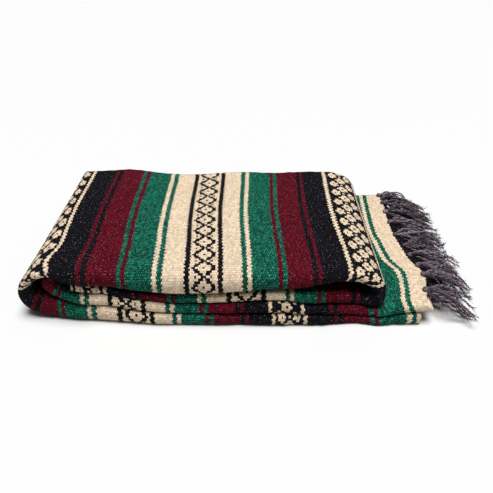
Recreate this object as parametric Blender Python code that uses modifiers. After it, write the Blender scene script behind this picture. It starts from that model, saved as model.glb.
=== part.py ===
"""A Mexican serape: a fringed falsa blanket, folded and laid flat.

The cloth is folded in four across its width, so that two fold loops lie one on the other
along the front. That strip is then laid left, wrapped up over the left end, laid right over
the top, and turned under at the right end, so that the front shows four loops: the lower
and the upper loop of the bottom layer, the loop of the turned-under layer, and the top roll.
The fringed end of the bottom layer sticks out at the right.

+X is right along the fold loops, +Y is back, +Z is up. The origin is at the middle of the
underside. Sizes are in metres.
"""

import math

import bmesh
import bpy
import numpy as np

# Driving sizes
PLY = 0.004  # a loose weave of thick soft yarn
SEAM = 0.0003  # what lies beside or on another piece stays this far from it
REST = 0.0006  # the same between two wavy plies, whose facets differ a little
BACK_Y = 0.165  # the selvedges, at the back
LEVEL_BACK = 0.0350  # height of the bottom layer at its back
HEM_X = 0.2640  # the fringed end of the lowest plies
PANEL_LEFT = -0.275  # where the upper strip starts to curl up inside the left end
RETURN_END = -0.108  # a loop's far ply runs back to here, where the hidden layers take over
HIDDEN_FRONT = -0.105  # front of the solid that stands for the hidden layers
HIDDEN_BACK = 0.146  # its back, where the rounded layers start
SLACK = 0.002  # it stays this much further from the plies where they bend
LOOP_ROUND = 1.1  # depth of a fold loop over half its height
LOOP_FULL = 0.75  # under 1, a loop is fuller than an ellipse
SAG_DEPTH = 0.220  # the stack sinks over this distance from its front

# The stack along its front, from left to right: the tops of the lower loop, of the bottom
# layer and of the turned-under layer, the underside of the top roll, the top face at the
# back, and how far forward the lower loop comes.
STACK_COLUMNS = ("x", "lower_loop", "bottom_layer", "middle_layer", "roll_under", "top_back", "front")
STACK = (
    (-0.310, 0.0375, 0.0580, 0.0730, 0.0840, 0.0990, -0.1570),
    (-0.262, 0.0310, 0.0500, 0.0660, 0.0705, 0.1010, -0.1640),
    (-0.220, 0.0300, 0.0475, 0.0625, 0.0660, 0.1030, -0.1670),
    (-0.160, 0.0235, 0.0405, 0.0565, 0.0600, 0.0945, -0.1730),
    (-0.105, 0.0210, 0.0345, 0.0525, 0.0560, 0.0910, -0.1750),
    (-0.050, 0.0215, 0.0375, 0.0540, 0.0575, 0.0940, -0.1770),
    (0.000, 0.0220, 0.0405, 0.0580, 0.0630, 0.0955, -0.1780),
    (0.050, 0.0225, 0.0420, 0.0610, 0.0670, 0.0930, -0.1800),
    (0.085, 0.0200, 0.0345, 0.0585, 0.0690, 0.0945, -0.1800),
    (0.130, 0.0165, 0.0320, 0.0560, 0.0770, 0.0950, -0.1770),
    (0.165, 0.0145, 0.0305, 0.0520, 0.0740, 0.0930, -0.1760),
    (0.200, 0.0140, 0.0265, 0.0450, 0.0700, 0.0900, -0.1810),
    (0.235, 0.0200, 0.0370, 0.0500, 0.0700, 0.0900, -0.1800),
    (0.300, 0.0240, 0.0385, 0.0500, 0.0700, 0.0900, -0.1785),
)
TOP_FRONT = 0.0960  # the top face at its front
UPPER_SETBACK = 0.003  # each loop's front stays this far behind the lower loop's
MIDDLE_SETBACK = 0.009
ROLL_SETBACK = 0.008

# The left end: two ellipses for the outer and inner face of the wrapped strip
LEFT_X = -0.305
LEFT_REACH = 0.058
LEFT_TAPER = 0.036  # the end reaches this much less at the back
LEFT_LIFT = 1.3  # over 1, the end is fullest below the middle of its height
LEFT_POINT = 1.15  # over 1, the end is less full than an ellipse
TOP_INSET = 0.012  # the top's selvedge lies this much in front of the lowest one
LEFT_INNER_X = -0.300
LEFT_INNER_REACH = 0.036
LEFT_PULL = 0.004  # the loop is pulled back this much half way up the end
ROLL_START = 0.1  # the top roll reaches its full setback this far from the end

# The right end: a long shoulder down to the nose, then a tight turn under
SHOULDER_X = 0.140
NOSE_X = 0.2105
NOSE_Z = 0.048
TURN_DEPTH = 0.016  # how far the turn under runs back before it lies flat
UNDER_X = 0.180  # left of here the turned-under layer lies on the bottom layer
INNER_TURN_X = 0.174  # the far ply turns here, on a half ellipse
INNER_TURN_REACH = 0.016

# The upper strip's curl inside the left end, as its inner and outer face
# Columns: inner_x, inner_z, outer_x, outer_z, front
CURL = (
    (-0.2860, 0.0560, -0.2960, 0.0372, -0.1540),
    (-0.2950, 0.0625, -0.3140, 0.0440, -0.1510),
    (-0.2990, 0.0700, -0.3225, 0.0550, -0.1490),
    (-0.3000, 0.0755, -0.3220, 0.0660, -0.1480),
    (-0.3000, 0.0800, -0.3150, 0.0750, -0.1470),
)

# The visible fringed end isn't straight: its middle is pulled out to the right
HEM_COLUMNS = ("y", "x", "tips")
HEM = (
    (-0.185, 0.2680, 0.3250),
    (-0.130, 0.2840, 0.3560),
    (-0.090, 0.2940, 0.3600),
    (-0.050, 0.2895, 0.3570),
    (-0.010, 0.2775, 0.3530),
    (0.040, 0.2710, 0.3500),
    (0.100, 0.2690, 0.3540),
    (0.150, 0.2670, 0.3380),
    (0.190, 0.2660, 0.3150),
)
SKEW_END = 0.200  # left of here the stripes run straight back again

# Sections along the strips, and the hidden layers: the space left round the upper strip's end,
# and how their back is pressed into leaves
HEM_STEPS = 6
PANEL_STEPS = 13
LEFT_STEPS = 12
TOP_STEPS = 15
SHOULDER_STEPS = 8
NOSE_STEPS = 6
HIDDEN_STEPS = 6
HIDDEN_TURN = ((0.006, 0.002), (0.014, -0.008))  # right and up from the upper strip's end
LEAVES = 3
LEAF_STEPS = 4
LEAF_DEPTH = 0.013
LEAF_FULL = 0.6  # under 1, a leaf is fuller than half a circle

# Places across a ply, from the selvedge to where the front loop starts
PLY_Y = (BACK_Y, 0.110, 0.055, 0.000, -0.045, -0.085, -0.120)
FRONT_Y = -0.150
BEYOND_FRONT = -0.160
LOOP_STEPS = 6

# Fringe: knotted tassels of soft yarn, one row for each ply, from the floor up. The top row
# takes its height and its tips from the panel's own tables.
# Columns: name, base height, tip height, length, strands in a tassel, steps along a strand
FRINGE = (
    ("fringe_lowest", 0.0010, 0.0028, 0.058, 4, 2),
    ("fringe_second", 0.0105, 0.0078, 0.056, 4, 2),
    ("fringe_third", 0.0200, 0.0130, 0.053, 4, 2),
    ("fringe_top", None, 0.0040, None, 6, 4),
)
TASSEL_Y = (-0.145, -0.108, -0.076, -0.046, -0.014, 0.021, 0.059, 0.097, 0.130, 0.155)
FRINGE_ENDS = {"fringe_lowest": (-0.150, 0.150), "fringe_top": (-0.152, 0.162)}
INNER_ENDS = (-0.099, 0.144)  # the strips of the two plies between them
STRIP = 0.0035  # width and height of the strip that the tassels' roots share
EDGE = 0.001  # the strip runs at least this far past its last strand
TINY = 1e-5
YARN = 0.0024
ROOT_PITCH = 0.0032
TIP_PITCH = 0.0058
DROOP = 2.8  # how late along its length a strand bends down
ROOT_INSET = 0.0003
TIP_SIZE = 0.6  # of the yarn's thickness
SECTION_LEAN = 0.25  # a strand's section leans forward, to face the way it runs
TASSEL_LEAN = 0.010  # how far the tips of a tassel stray along the hem
TASSEL_FAN = 0.05  # tassels spread from this much of their distance from FAN_Y
FAN_Y = -0.01
TIP_UNEVEN = 0.004
KNOT_LENGTH = 0.009
KNOT_HEIGHT = 0.004

# Moves the model so that its bounding box stands centred on the origin
CENTRE_SHIFT = (-0.0005, 0.0024, 0.0)

COLOURS = {  # linear RGBA, chosen by eye: the cloth's main stripes and the fringe yarn
    "wine": (0.145, 0.008, 0.022, 1.0),
    "green": (0.012, 0.130, 0.070, 1.0),
    "cream": (0.640, 0.500, 0.330, 1.0),
    "grey": (0.100, 0.085, 0.105, 1.0),
}


def clear_scene():
    for obj in list(bpy.data.objects):
        bpy.data.objects.remove(obj, do_unlink=True)


def material(name, colour):
    mat = bpy.data.materials.new(name)
    mat.use_nodes = True
    shader = mat.node_tree.nodes["Principled BSDF"]
    shader.inputs["Base Color"].default_value = colour
    shader.inputs["Roughness"].default_value = 0.95
    shader.inputs["Metallic"].default_value = 0.0
    return mat


def smooth_step(t):
    t = min(max(t, 0.0), 1.0)
    return t * t * (3 - 2 * t)


def read_table(rows, columns, column, at):
    """The named column at this place, on a smooth curve through the rows."""
    places = [row[0] for row in rows]
    values = [row[columns.index(column)] for row in rows]
    at = min(max(at, places[0]), places[-1])
    k = min(max(int(np.searchsorted(places, at)) - 1, 0), len(rows) - 2)

    def slope(i):
        a, b = max(i - 1, 0), min(i + 1, len(rows) - 1)
        return (values[b] - values[a]) / (places[b] - places[a])

    width = places[k + 1] - places[k]
    t = (at - places[k]) / width
    start = (2 * t**3 - 3 * t**2 + 1) * values[k] + (t**3 - 2 * t**2 + t) * width * slope(k)
    return start + (3 * t**2 - 2 * t**3) * values[k + 1] + (t**3 - t**2) * width * slope(k + 1)


def stack(column, x):
    return read_table(STACK, STACK_COLUMNS, column, x)


def toward_back(y):
    """0 along the front, 1 from a little behind the middle to the back.

    It is straight between the places in PLY_Y, so that plies that lie on each other match.
    """
    places = (FRONT_Y, *reversed(PLY_Y))
    return float(np.interp(y, places, [smooth_step((place - FRONT_Y) / SAG_DEPTH) for place in places]))


def bottom_layer(x, y):
    """Top face of the bottom layer, which sinks under the weight at its back."""
    t = toward_back(y)
    return (1 - t) * stack("bottom_layer", x) + t * LEVEL_BACK


def top_face(x, y):
    t = toward_back(y)
    return (1 - t) * TOP_FRONT + t * stack("top_back", x)


def hem_line(y):
    return read_table(HEM, HEM_COLUMNS, "x", y)


def skewed(x, y):
    """Where a point of the visible panel lies once its end is pulled out of line."""
    pull = smooth_step((x - SKEW_END) / (HEM_X - SKEW_END))
    return x + (hem_line(y) - HEM_X) * pull


class Station:
    """One section of a folded strip: its near ply, its far ply and the loop between them."""

    def __init__(self, near, far, front, inset=0.0):
        self.near = near  # a function of y that gives (x, z) of the near ply's outer face
        self.far = far  # (x, z) of the far ply's outer face
        self.front = front  # how far forward the loop comes
        self.inset = inset  # how far the selvedge lies in front of BACK_Y

    def points(self):
        near_x, near_z = self.near(PLY_Y[-1])
        far_x, far_z = self.far
        height = math.hypot(far_x - near_x, far_z - near_z)
        edge = self.front + LOOP_ROUND * height / 2
        found = []
        for y in PLY_Y:
            x, z = self.near(y)
            found.append((x, y - self.inset * max(y, 0) / BACK_Y, z))
        near_x, near_z = self.near(edge)
        for step in range(LOOP_STEPS + 1):
            turn = math.pi * step / LOOP_STEPS
            share = (1 - math.cos(turn)) / 2
            y = edge - (edge - self.front) * abs(math.sin(turn)) ** LOOP_FULL
            found.append((near_x + share * (far_x - near_x), y, near_z + share * (far_z - near_z)))
        found.append((far_x, RETURN_END, far_z))
        return found


def level(value):
    """A near ply that doesn't change from front to back."""
    return lambda y: value


def even_steps(start, end, count):
    return [start + (end - start) * i / count for i in range(count)]


def panel_places():
    """Places along the bottom layer that lie under the turned-under layer, right to left."""
    return even_steps(UNDER_X, PANEL_LEFT, PANEL_STEPS) + [PANEL_LEFT]


def level_places():
    """Places along the whole bottom layer, right to left."""
    return even_steps(HEM_X, UNDER_X, HEM_STEPS) + panel_places()


def outer_strip():
    """The strip that shows most: floor, left end, top, right end, turned-under layer."""
    found = []
    for x in level_places() + [(PANEL_LEFT + LEFT_X) / 2]:
        found.append(Station(level((x, 0.0)), (x, stack("lower_loop", x) - SEAM), stack("front", x)))
    for i in range(LEFT_STEPS):
        turn = math.pi * i / LEFT_STEPS
        in_low, in_high = stack("lower_loop", LEFT_X) - SEAM, stack("roll_under", LEFT_X)
        in_x = LEFT_INNER_X - LEFT_INNER_REACH * math.sin(turn)
        in_z = (in_low + in_high) / 2 - (in_high - in_low) / 2 * math.cos(turn)
        front = stack("front", LEFT_X) + LEFT_PULL * math.sin(turn)
        found.append(Station(left_ply(turn), (in_x, in_z), front, TOP_INSET * turn / math.pi))
    for x in even_steps(LEFT_X, SHOULDER_X, TOP_STEPS):
        front = stack("front", x) + ROLL_SETBACK * smooth_step((x - LEFT_X) / ROLL_START)
        found.append(Station(top_ply(x), (x, stack("roll_under", x)), front, TOP_INSET))
    for i in range(SHOULDER_STEPS):
        turn = math.pi / 2 * i / SHOULDER_STEPS
        out_x = SHOULDER_X + (NOSE_X - SHOULDER_X) * math.sin(turn)
        in_x = SHOULDER_X + (INNER_TURN_X - SHOULDER_X) * i / SHOULDER_STEPS
        front = stack("front", in_x) + ROLL_SETBACK
        far = (in_x, stack("roll_under", in_x))
        inset = TOP_INSET * (1 - i / SHOULDER_STEPS)
        found.append(Station(shoulder_ply(out_x, turn), far, front, inset))
    for i in range(NOSE_STEPS):
        turn = math.pi / 2 * i / NOSE_STEPS
        out_x = NOSE_X - TURN_DEPTH * (1 - math.cos(turn))
        high, low = stack("roll_under", INNER_TURN_X), stack("middle_layer", INNER_TURN_X)
        in_x = INNER_TURN_X + INNER_TURN_REACH * math.sin(2 * turn)
        in_z = (high + low) / 2 + (high - low) / 2 * math.cos(2 * turn)
        front = stack("front", in_x) + ROLL_SETBACK
        found.append(Station(nose_ply(out_x, turn), (in_x, in_z), front))
    for x in panel_places():
        front = stack("front", x) + MIDDLE_SETBACK
        found.append(Station(middle_ply(x), (min(x, INNER_TURN_X), stack("middle_layer", x)), front))
    return found


def left_ply(turn):
    """The ply wrapped over the left end, from the floor at turn 0 to the top at turn pi."""

    def place(y):
        reach = LEFT_REACH - LEFT_TAPER * (y - FRONT_Y) / (BACK_Y - FRONT_Y)
        share = ((1 - math.cos(turn)) / 2) ** LEFT_LIFT
        return LEFT_X - reach * math.sin(turn) ** LEFT_POINT, share * top_face(LEFT_X, y)

    return place


def top_ply(x):
    return lambda y: (x, top_face(x, y))


def shoulder_ply(x, turn):
    return lambda y: (x, NOSE_Z + (top_face(SHOULDER_X, y) - NOSE_Z) * math.cos(turn))


def nose_ply(x, turn):
    """The tight turn under, down to just above the bottom layer."""

    def place(y):
        low = bottom_layer(NOSE_X - TURN_DEPTH, y) + REST
        return x, low + (NOSE_Z - low) * (1 - math.sin(turn))

    return place


def middle_ply(x):
    return lambda y: (x, bottom_layer(x, y) + REST)


def panel_ply(x):
    return lambda y: (skewed(x, y), bottom_layer(skewed(x, y), y))


def curled_ply(k):
    """The near ply of the upper strip at one row of its curl, lower at the back at first."""
    inner_x, inner_z = CURL[k][:2]
    sink = stack("bottom_layer", PANEL_LEFT) - LEVEL_BACK
    left = 1 - (k + 1) / len(CURL)
    return lambda y: (inner_x, inner_z - sink * left * toward_back(y))


def upper_strip():
    """The strip inside it: the panel with the visible fringe, its loop, and its curl."""
    found = []
    for x in level_places():
        far_x = skewed(x, PLY_Y[-1])
        apart = SEAM if x == far_x else SEAM + REST
        far = (far_x, stack("lower_loop", far_x) + apart)
        found.append(Station(panel_ply(x), far, stack("front", x) + UPPER_SETBACK))
    for k, row in enumerate(CURL):
        outer_x, outer_z, front = row[2:]
        found.append(Station(curled_ply(k), (outer_x, outer_z), front))
    return found


def wall(name, stations, outside, mat, collection):
    """A wall of one ply, thickened to the inside of its loops.

    outside is 1 where the near ply faces down at the first station, and -1 where it faces up.
    """
    mesh = bpy.data.meshes.new(name)
    rows = [station.points() for station in stations]
    across = len(rows[0])
    verts = [point for row in rows for point in row]
    faces = []
    for i in range(len(rows) - 1):
        for j in range(across - 1):
            a, b = i * across + j, (i + 1) * across + j
            faces.append((a, a + 1, b + 1, b))
    mesh.from_pydata(verts, [], faces)
    mesh.materials.append(mat)
    mesh.shade_smooth()
    obj = bpy.data.objects.new(name, mesh)
    collection.objects.link(obj)
    thick = obj.modifiers.new("Ply", "SOLIDIFY")
    thick.thickness = PLY
    thick.offset = -1.0 * outside
    return obj


def moved_aside(points, distance):
    """The points moved to the right of their path, square to it."""
    found = []
    for k, (x, z) in enumerate(points):
        before, after = points[max(k - 1, 0)], points[min(k + 1, len(points) - 1)]
        along = (after[0] - before[0], after[1] - before[1])
        length = math.hypot(*along)
        found.append((x + distance * along[1] / length, z - distance * along[0] / length))
    return found


def hidden_rails(y):
    """Outer and inner edge of the hidden layers at this depth, matched point by point."""
    skin = PLY + REST
    panel = [(x, bottom_layer(x, y)) for x in level_places()]
    curl = [curled_ply(k)(y) for k in range(len(CURL))]
    lifted = moved_aside(panel + curl, -skin - SEAM)
    face = [(x, 0.0) for x in level_places()]
    inner = [(x, lifted[k][1] - (SLACK if x > SKEW_END else 0)) for k, (x, _) in enumerate(panel)]
    # Round the curled-up end of the upper strip, then down to the turned-under layer
    end_x, end_z = curl[-1]
    around = lifted[len(panel) :] + [(end_x - skin, end_z + SLACK)]
    around += [(end_x + right, end_z + up) for right, up in HIDDEN_TURN]
    inner += around
    face += [left_ply(math.pi * (k + 0.5) / len(around))(y) for k in range(len(around))]
    under = list(reversed([x for x in panel_places() if x < SHOULDER_X]))
    face += [(x, top_face(x, y)) for x in under]
    low_end = NOSE_X - TURN_DEPTH
    for i in range(HIDDEN_STEPS + 1):
        turn = math.pi / 2 * i / HIDDEN_STEPS
        face.append(shoulder_ply(SHOULDER_X + (NOSE_X - SHOULDER_X) * math.sin(turn), turn)(y))
        under.append(SHOULDER_X + (low_end - SHOULDER_X) * i / HIDDEN_STEPS)
    inner += [(x, bottom_layer(x, y) + REST + skin + SLACK / 2) for x in under]
    start, end = len(panel), len(panel) + len(around)
    outer = moved_aside(face, skin)
    outer[start:end] = moved_aside(face, skin + SLACK)[start:end]
    return outer, inner


def hidden_layers(mat, collection):
    """The folded plies inside, as one solid whose back is rounded into layers."""
    depths = (HIDDEN_FRONT, *(y for y in reversed(PLY_Y) if HIDDEN_FRONT < y < BACK_Y), HIDDEN_BACK)
    rails = [hidden_rails(y) for y in depths]
    count = len(rails[0][0])
    rings = []
    for i in range(count):
        ring = [(*rails[k][0][i], depths[k]) for k in range(len(depths))]
        (out_x, out_z), (in_x, in_z) = rails[-1][0][i], rails[-1][1][i]
        for step in range(1, LEAVES * LEAF_STEPS):
            share = step / (LEAVES * LEAF_STEPS)
            bulge = abs(math.sin(math.pi * LEAVES * share)) ** LEAF_FULL
            place = (out_x + share * (in_x - out_x), out_z + share * (in_z - out_z))
            ring.append((*place, depths[-1] + LEAF_DEPTH * bulge))
        ring += [(*rails[k][1][i], depths[k]) for k in reversed(range(len(depths)))]
        rings.append([(x, y, z) for x, z, y in ring])
    mesh = bpy.data.meshes.new("hidden_layers")
    around = len(rings[0])
    verts = [point for ring in rings for point in ring]
    faces = []
    for i in range(count - 1):
        for j in range(around):
            a, b = i * around + j, i * around + (j + 1) % around
            faces.append((a, b, b + around, a + around))
    faces.append(tuple(reversed(range(around))))
    faces.append(tuple(range((count - 1) * around, count * around)))
    mesh.from_pydata(verts, [], faces)
    bm = bmesh.new()
    bm.from_mesh(mesh)
    bmesh.ops.recalc_face_normals(bm, faces=bm.faces)
    bm.to_mesh(mesh)
    bm.free()
    mesh.materials.append(mat)
    obj = bpy.data.objects.new("hidden_layers", mesh)
    collection.objects.link(obj)
    return obj


def strand_path(root, sideways, length, tip_z, steps):
    """Places and directions along one strand, which bends down under its own weight."""
    found = []
    for step in range(1, steps + 1):
        t = step / steps
        drop = (root[2] - tip_z) * t**DROOP
        found.append((root[0] + length * t, root[1] + sideways * t, root[2] - drop))
    return found


def grow_strand(bm, face, sideways, length, tip_z, steps):
    """Draws a small face out of the strip into a strand of four sides."""
    bmesh.ops.inset_individual(bm, faces=[face], thickness=ROOT_INSET)
    root = face.calc_center_median()
    for place in strand_path(root, sideways, length, tip_z, steps):
        grown = bmesh.ops.extrude_discrete_faces(bm, faces=[face])
        face = grown["faces"][0]
        middle = face.calc_center_median()
        last = place[0] > root[0] + length - TINY
        size = YARN / 2 * (TIP_SIZE if last else 1.0)
        for vert in face.verts:
            dy = math.copysign(size, vert.co.y - middle.y)
            dz = math.copysign(size, vert.co.z - middle.z)
            vert.co = (place[0] + SECTION_LEAN * dz, place[1] + dy, place[2] + dz)


def strip_bar(bm, marks, corner):
    """A bar along the hem, with its faces to the right and on top listed by number."""
    rings = []
    for y in marks:
        x, low = corner(y)
        corners = ((x, low), (x + STRIP, low), (x + STRIP, low + STRIP), (x, low + STRIP))
        rings.append([bm.verts.new((cx, y, cz)) for cx, cz in corners])
    rights, tops = [], []
    for a, b in zip(rings, rings[1:]):
        sides = [bm.faces.new((a[j], a[(j + 1) % 4], b[(j + 1) % 4], b[j])) for j in range(4)]
        rights.append(sides[1])
        tops.append(sides[2])
    bm.faces.new(tuple(reversed(rings[0])))
    bm.faces.new(tuple(rings[-1]))
    bmesh.ops.recalc_face_normals(bm, faces=bm.faces)
    return rights, tops


def fringe_row(row, mat, collection):
    """The tassels of one ply: a narrow strip along the hem, with strands and knots."""
    name, base, tip_z, length, strands, steps = row
    on_panel = base is None
    low_end, high_end = FRINGE_ENDS.get(name, INNER_ENDS)
    width = strands * ROOT_PITCH
    starts = []
    for y in TASSEL_Y:
        if on_panel or low_end + width < y < high_end:
            starts.append(min(max(y - width / 2, low_end + EDGE), high_end - width - EDGE))
    marks = {low_end, high_end}
    marks |= {start + ROOT_PITCH * i for start in starts for i in range(strands + 1)}
    if on_panel:
        marks |= {y for y in PLY_Y if low_end < y < high_end}
    marks = sorted({round(mark, 5) for mark in marks})

    def corner(y):
        if on_panel:
            return at_ply_corners(y, hem_line) + SEAM, at_ply_corners(y, hem_height) - STRIP
        return HEM_X + SEAM, base

    bm = bmesh.new()
    rights, tops = strip_bar(bm, marks, corner)
    for number, start in enumerate(starts):
        inside = [
            i
            for i in range(len(rights))
            if start - TINY <= marks[i] and marks[i + 1] <= start + width + TINY
        ]
        roots = [i for i in inside if marks[i + 1] - marks[i] > ROOT_PITCH / 2]
        y = start + width / 2
        lean = TASSEL_LEAN * math.sin(1.7 * number + len(name)) + TASSEL_FAN * (y - FAN_Y)
        for place, i in enumerate(roots):
            fan = (place - (len(roots) - 1) / 2) * (TIP_PITCH - ROOT_PITCH)
            reach = length or read_table(HEM, HEM_COLUMNS, "tips", y + fan + lean) - hem_line(y)
            reach -= TIP_UNEVEN * (1 + math.sin(2.3 * place + number))
            grow_strand(bm, rights[i], fan + lean, reach, tip_z, steps)
        if on_panel:
            grow_knot(bm, tops[inside[len(inside) // 2]])
    mesh = bpy.data.meshes.new(name)
    bm.to_mesh(mesh)
    bm.free()
    mesh.materials.append(mat)
    obj = bpy.data.objects.new(name, mesh)
    collection.objects.link(obj)
    return obj


def hem_height(y):
    return bottom_layer(HEM_X, y)


def at_ply_corners(y, line):
    """A line along the hem, straight between the places where the panel's wall has corners."""
    places = sorted((*PLY_Y, BEYOND_FRONT))
    return float(np.interp(y, places, [line(place) for place in places]))


def grow_knot(bm, face):
    """A knot that stands on the strip and lies back over the cloth."""
    grown = bmesh.ops.extrude_discrete_faces(bm, faces=[face])
    top = grown["faces"][0]
    for vert in top.verts:
        vert.co.z += KNOT_HEIGHT / 3
    grown = bmesh.ops.extrude_discrete_faces(bm, faces=[top])
    top = grown["faces"][0]
    for vert in top.verts:
        vert.co.z += KNOT_HEIGHT * 2 / 3
    bm.normal_update()
    sides = {side for vert in top.verts for side in vert.link_faces}
    grown = bmesh.ops.extrude_discrete_faces(bm, faces=[min(sides, key=lambda side: side.normal.x)])
    for vert in grown["faces"][0].verts:
        vert.co.x -= KNOT_LENGTH


def build():
    clear_scene()
    collection = bpy.data.collections.new("folded_serape")
    bpy.context.scene.collection.children.link(collection)
    wine = material("wine_weave", COLOURS["wine"])
    green = material("green_weave", COLOURS["green"])
    cream = material("cream_weave", COLOURS["cream"])
    grey = material("grey_yarn", COLOURS["grey"])
    pieces = [
        wall("outer_cloth", outer_strip(), 1, wine, collection),
        wall("upper_cloth", upper_strip(), -1, green, collection),
        hidden_layers(cream, collection),
    ]
    pieces += [fringe_row(row, grey, collection) for row in FRINGE]
    for piece in pieces:
        piece.location = CENTRE_SHIFT


build()
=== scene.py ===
# %% [markdown]
# # A folded Mexican serape
# The blanket is a falsa: thick soft yarn, woven in cross stripes of cream, green, wine and black with
# bands of diamonds, and a fringe of grey warp ends. It lies folded flat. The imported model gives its
# solids. This script dresses them: it makes the cloth as fine shells over the same folds, draws the
# weave on it by rules, and knots the fringe strand by strand.

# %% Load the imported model
import math
from functools import partial

import bmesh
import bpy
import numpy as np
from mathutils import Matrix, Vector


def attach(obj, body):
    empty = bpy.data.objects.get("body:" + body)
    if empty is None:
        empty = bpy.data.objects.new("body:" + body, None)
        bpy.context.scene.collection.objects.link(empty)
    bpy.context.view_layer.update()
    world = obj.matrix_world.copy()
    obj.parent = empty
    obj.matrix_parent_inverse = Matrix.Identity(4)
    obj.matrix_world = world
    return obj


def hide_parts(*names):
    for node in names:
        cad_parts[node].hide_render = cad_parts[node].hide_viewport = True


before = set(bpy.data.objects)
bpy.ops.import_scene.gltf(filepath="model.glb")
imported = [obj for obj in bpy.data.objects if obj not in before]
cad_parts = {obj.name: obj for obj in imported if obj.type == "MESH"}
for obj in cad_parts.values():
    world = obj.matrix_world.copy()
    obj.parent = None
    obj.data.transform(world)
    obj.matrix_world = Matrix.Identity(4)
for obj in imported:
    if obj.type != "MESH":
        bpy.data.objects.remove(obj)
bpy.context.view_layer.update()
collection = bpy.context.scene.collection
MM = 0.001

# %% [markdown]
# ## The camera
# The photograph looks down at the blanket's front at about 35 degrees, turned a little to the left, with
# a lens of normal length. It is placed first, so that everything else can be judged through it.

# %% Camera
CAMERA_PLACE = Vector((-0.018, -0.8479, 0.6276))
CAMERA_DOWN = math.radians(35.2)
CAMERA_RIGHT = math.radians(0.92)
CAMERA_LENS = 42.72  # mm, on a sensor 36 mm wide

camera = bpy.data.objects.new("camera", bpy.data.cameras.new("camera"))
collection.objects.link(camera)
camera.data.sensor_width = 36
camera.data.lens = CAMERA_LENS
aim = Vector(
    (
        math.sin(CAMERA_RIGHT) * math.cos(CAMERA_DOWN),
        math.cos(CAMERA_RIGHT) * math.cos(CAMERA_DOWN),
        -math.sin(CAMERA_DOWN),
    )
)
camera.location = CAMERA_PLACE
camera.rotation_euler = aim.to_track_quat("-Z", "Y").to_euler()
bpy.context.scene.camera = camera
print("camera looks down", round(math.degrees(CAMERA_DOWN), 1), "degrees")

# %% [markdown]
# ## The sizes of the fold
# These are the sizes that the solids were built from, so that the fine cloth lies on them. The long
# strip is four plies deep. It starts at the fringed end on the floor, runs left, wraps up over the left
# end, runs right over the top, and turns under at the right.

# %% Sizes of the fold, in metres
SHIFT = (-0.0005, 0.0024, 0.0)  # from the fold's own middle to the frame's
PLY = 0.004  # thickness of the cloth
SEAM = 0.0003  # between plies that lie on each other
REST = 0.0006  # between the bottom layer and the layer turned under onto it
SLACK = 0.002  # room round the hidden plies
BACK_Y = 0.165  # where the near ply's selvedge lies
FRONT_Y = -0.150
PLY_END = -0.120  # past here, towards the front, a ply starts to turn into its loop
LEVEL_BACK = 0.0350  # height of the bottom layer at the back
LEVELS_OVER = 0.220  # depth over which the heights change from the front's to the back's
HEM_X = 0.2640
SKEW_END = 0.200  # left of here the panel isn't pulled askew
PANEL_LEFT = -0.275
RETURN_END = -0.108  # how far back the cloth inside a loop is built
LOOP_ROUND = 1.1  # a loop's depth, over half of its height
LOOP_FULL = 0.75  # below 1 a loop is fuller than a half circle
TOP_FRONT = 0.0960
TOP_INSET = 0.012  # how far the top's selvedge lies in from the back
UPPER_SETBACK = 0.003  # of each loop from the lowest one's front
MIDDLE_SETBACK = 0.009
ROLL_SETBACK = 0.008
ROLL_STARTS = 0.1  # length over which the top roll is set back
print("a ply is", PLY / MM, "mm thick")

# %% Sizes of the two ends, in metres
LEFT_X = -0.305
LEFT_REACH = 0.058  # how far the wrap goes past LEFT_X at the front
LEFT_TAPER = 0.036  # how much less at the back
LEFT_LIFT = 1.3  # above 1 the wrap keeps low before it climbs
LEFT_POINT = 1.15  # above 1 the wrap is more pointed than a half circle
LEFT_INNER_X = -0.300
LEFT_INNER_REACH = 0.036
LEFT_DRAWN_IN = 0.004  # of the loop's front at the middle of the wrap
SHOULDER_X = 0.140
NOSE_X = 0.2105
NOSE_Z = 0.048
TURN_DEPTH = 0.016
UNDER_X = 0.180
INNER_TURN_X = 0.174
INNER_TURN_REACH = 0.016
HIDDEN_FRONT = -0.105
HIDDEN_BACK = 0.146
print("the fold is", round(NOSE_X - LEFT_X + LEFT_REACH, 3), "m long without its panel")

# %% [markdown]
# ## Heights along the front
# A soft stack is nowhere level. Short tables give the heights of the loops, the line of the hem and the
# curl inside the left end, at places where the photograph shows them. A smooth curve through the rows
# gives every place between.

# %% Tables of heights and edges, in metres
STACK_COLUMNS = ("x", "lower_loop", "bottom_layer", "middle_layer", "roll_under", "top_back", "front")
STACK = (
    (-0.310, 0.0375, 0.0580, 0.0730, 0.0840, 0.0990, -0.1570),
    (-0.262, 0.0310, 0.0500, 0.0660, 0.0705, 0.1010, -0.1640),
    (-0.220, 0.0300, 0.0475, 0.0625, 0.0660, 0.1030, -0.1670),
    (-0.160, 0.0235, 0.0405, 0.0565, 0.0600, 0.0945, -0.1730),
    (-0.105, 0.0210, 0.0345, 0.0525, 0.0560, 0.0910, -0.1750),
    (-0.050, 0.0215, 0.0375, 0.0540, 0.0575, 0.0940, -0.1770),
    (0.000, 0.0220, 0.0405, 0.0580, 0.0630, 0.0955, -0.1780),
    (0.050, 0.0225, 0.0420, 0.0610, 0.0670, 0.0930, -0.1800),
    (0.085, 0.0200, 0.0345, 0.0585, 0.0690, 0.0945, -0.1800),
    (0.130, 0.0165, 0.0320, 0.0560, 0.0770, 0.0950, -0.1770),
    (0.165, 0.0145, 0.0305, 0.0520, 0.0740, 0.0930, -0.1760),
    (0.200, 0.0140, 0.0265, 0.0450, 0.0700, 0.0900, -0.1810),
    (0.235, 0.0200, 0.0370, 0.0500, 0.0700, 0.0900, -0.1800),
    (0.300, 0.0240, 0.0385, 0.0500, 0.0700, 0.0900, -0.1785),
)
CURL_COLUMNS = ("row", "inner_x", "inner_z", "outer_x", "outer_z", "front")
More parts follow.
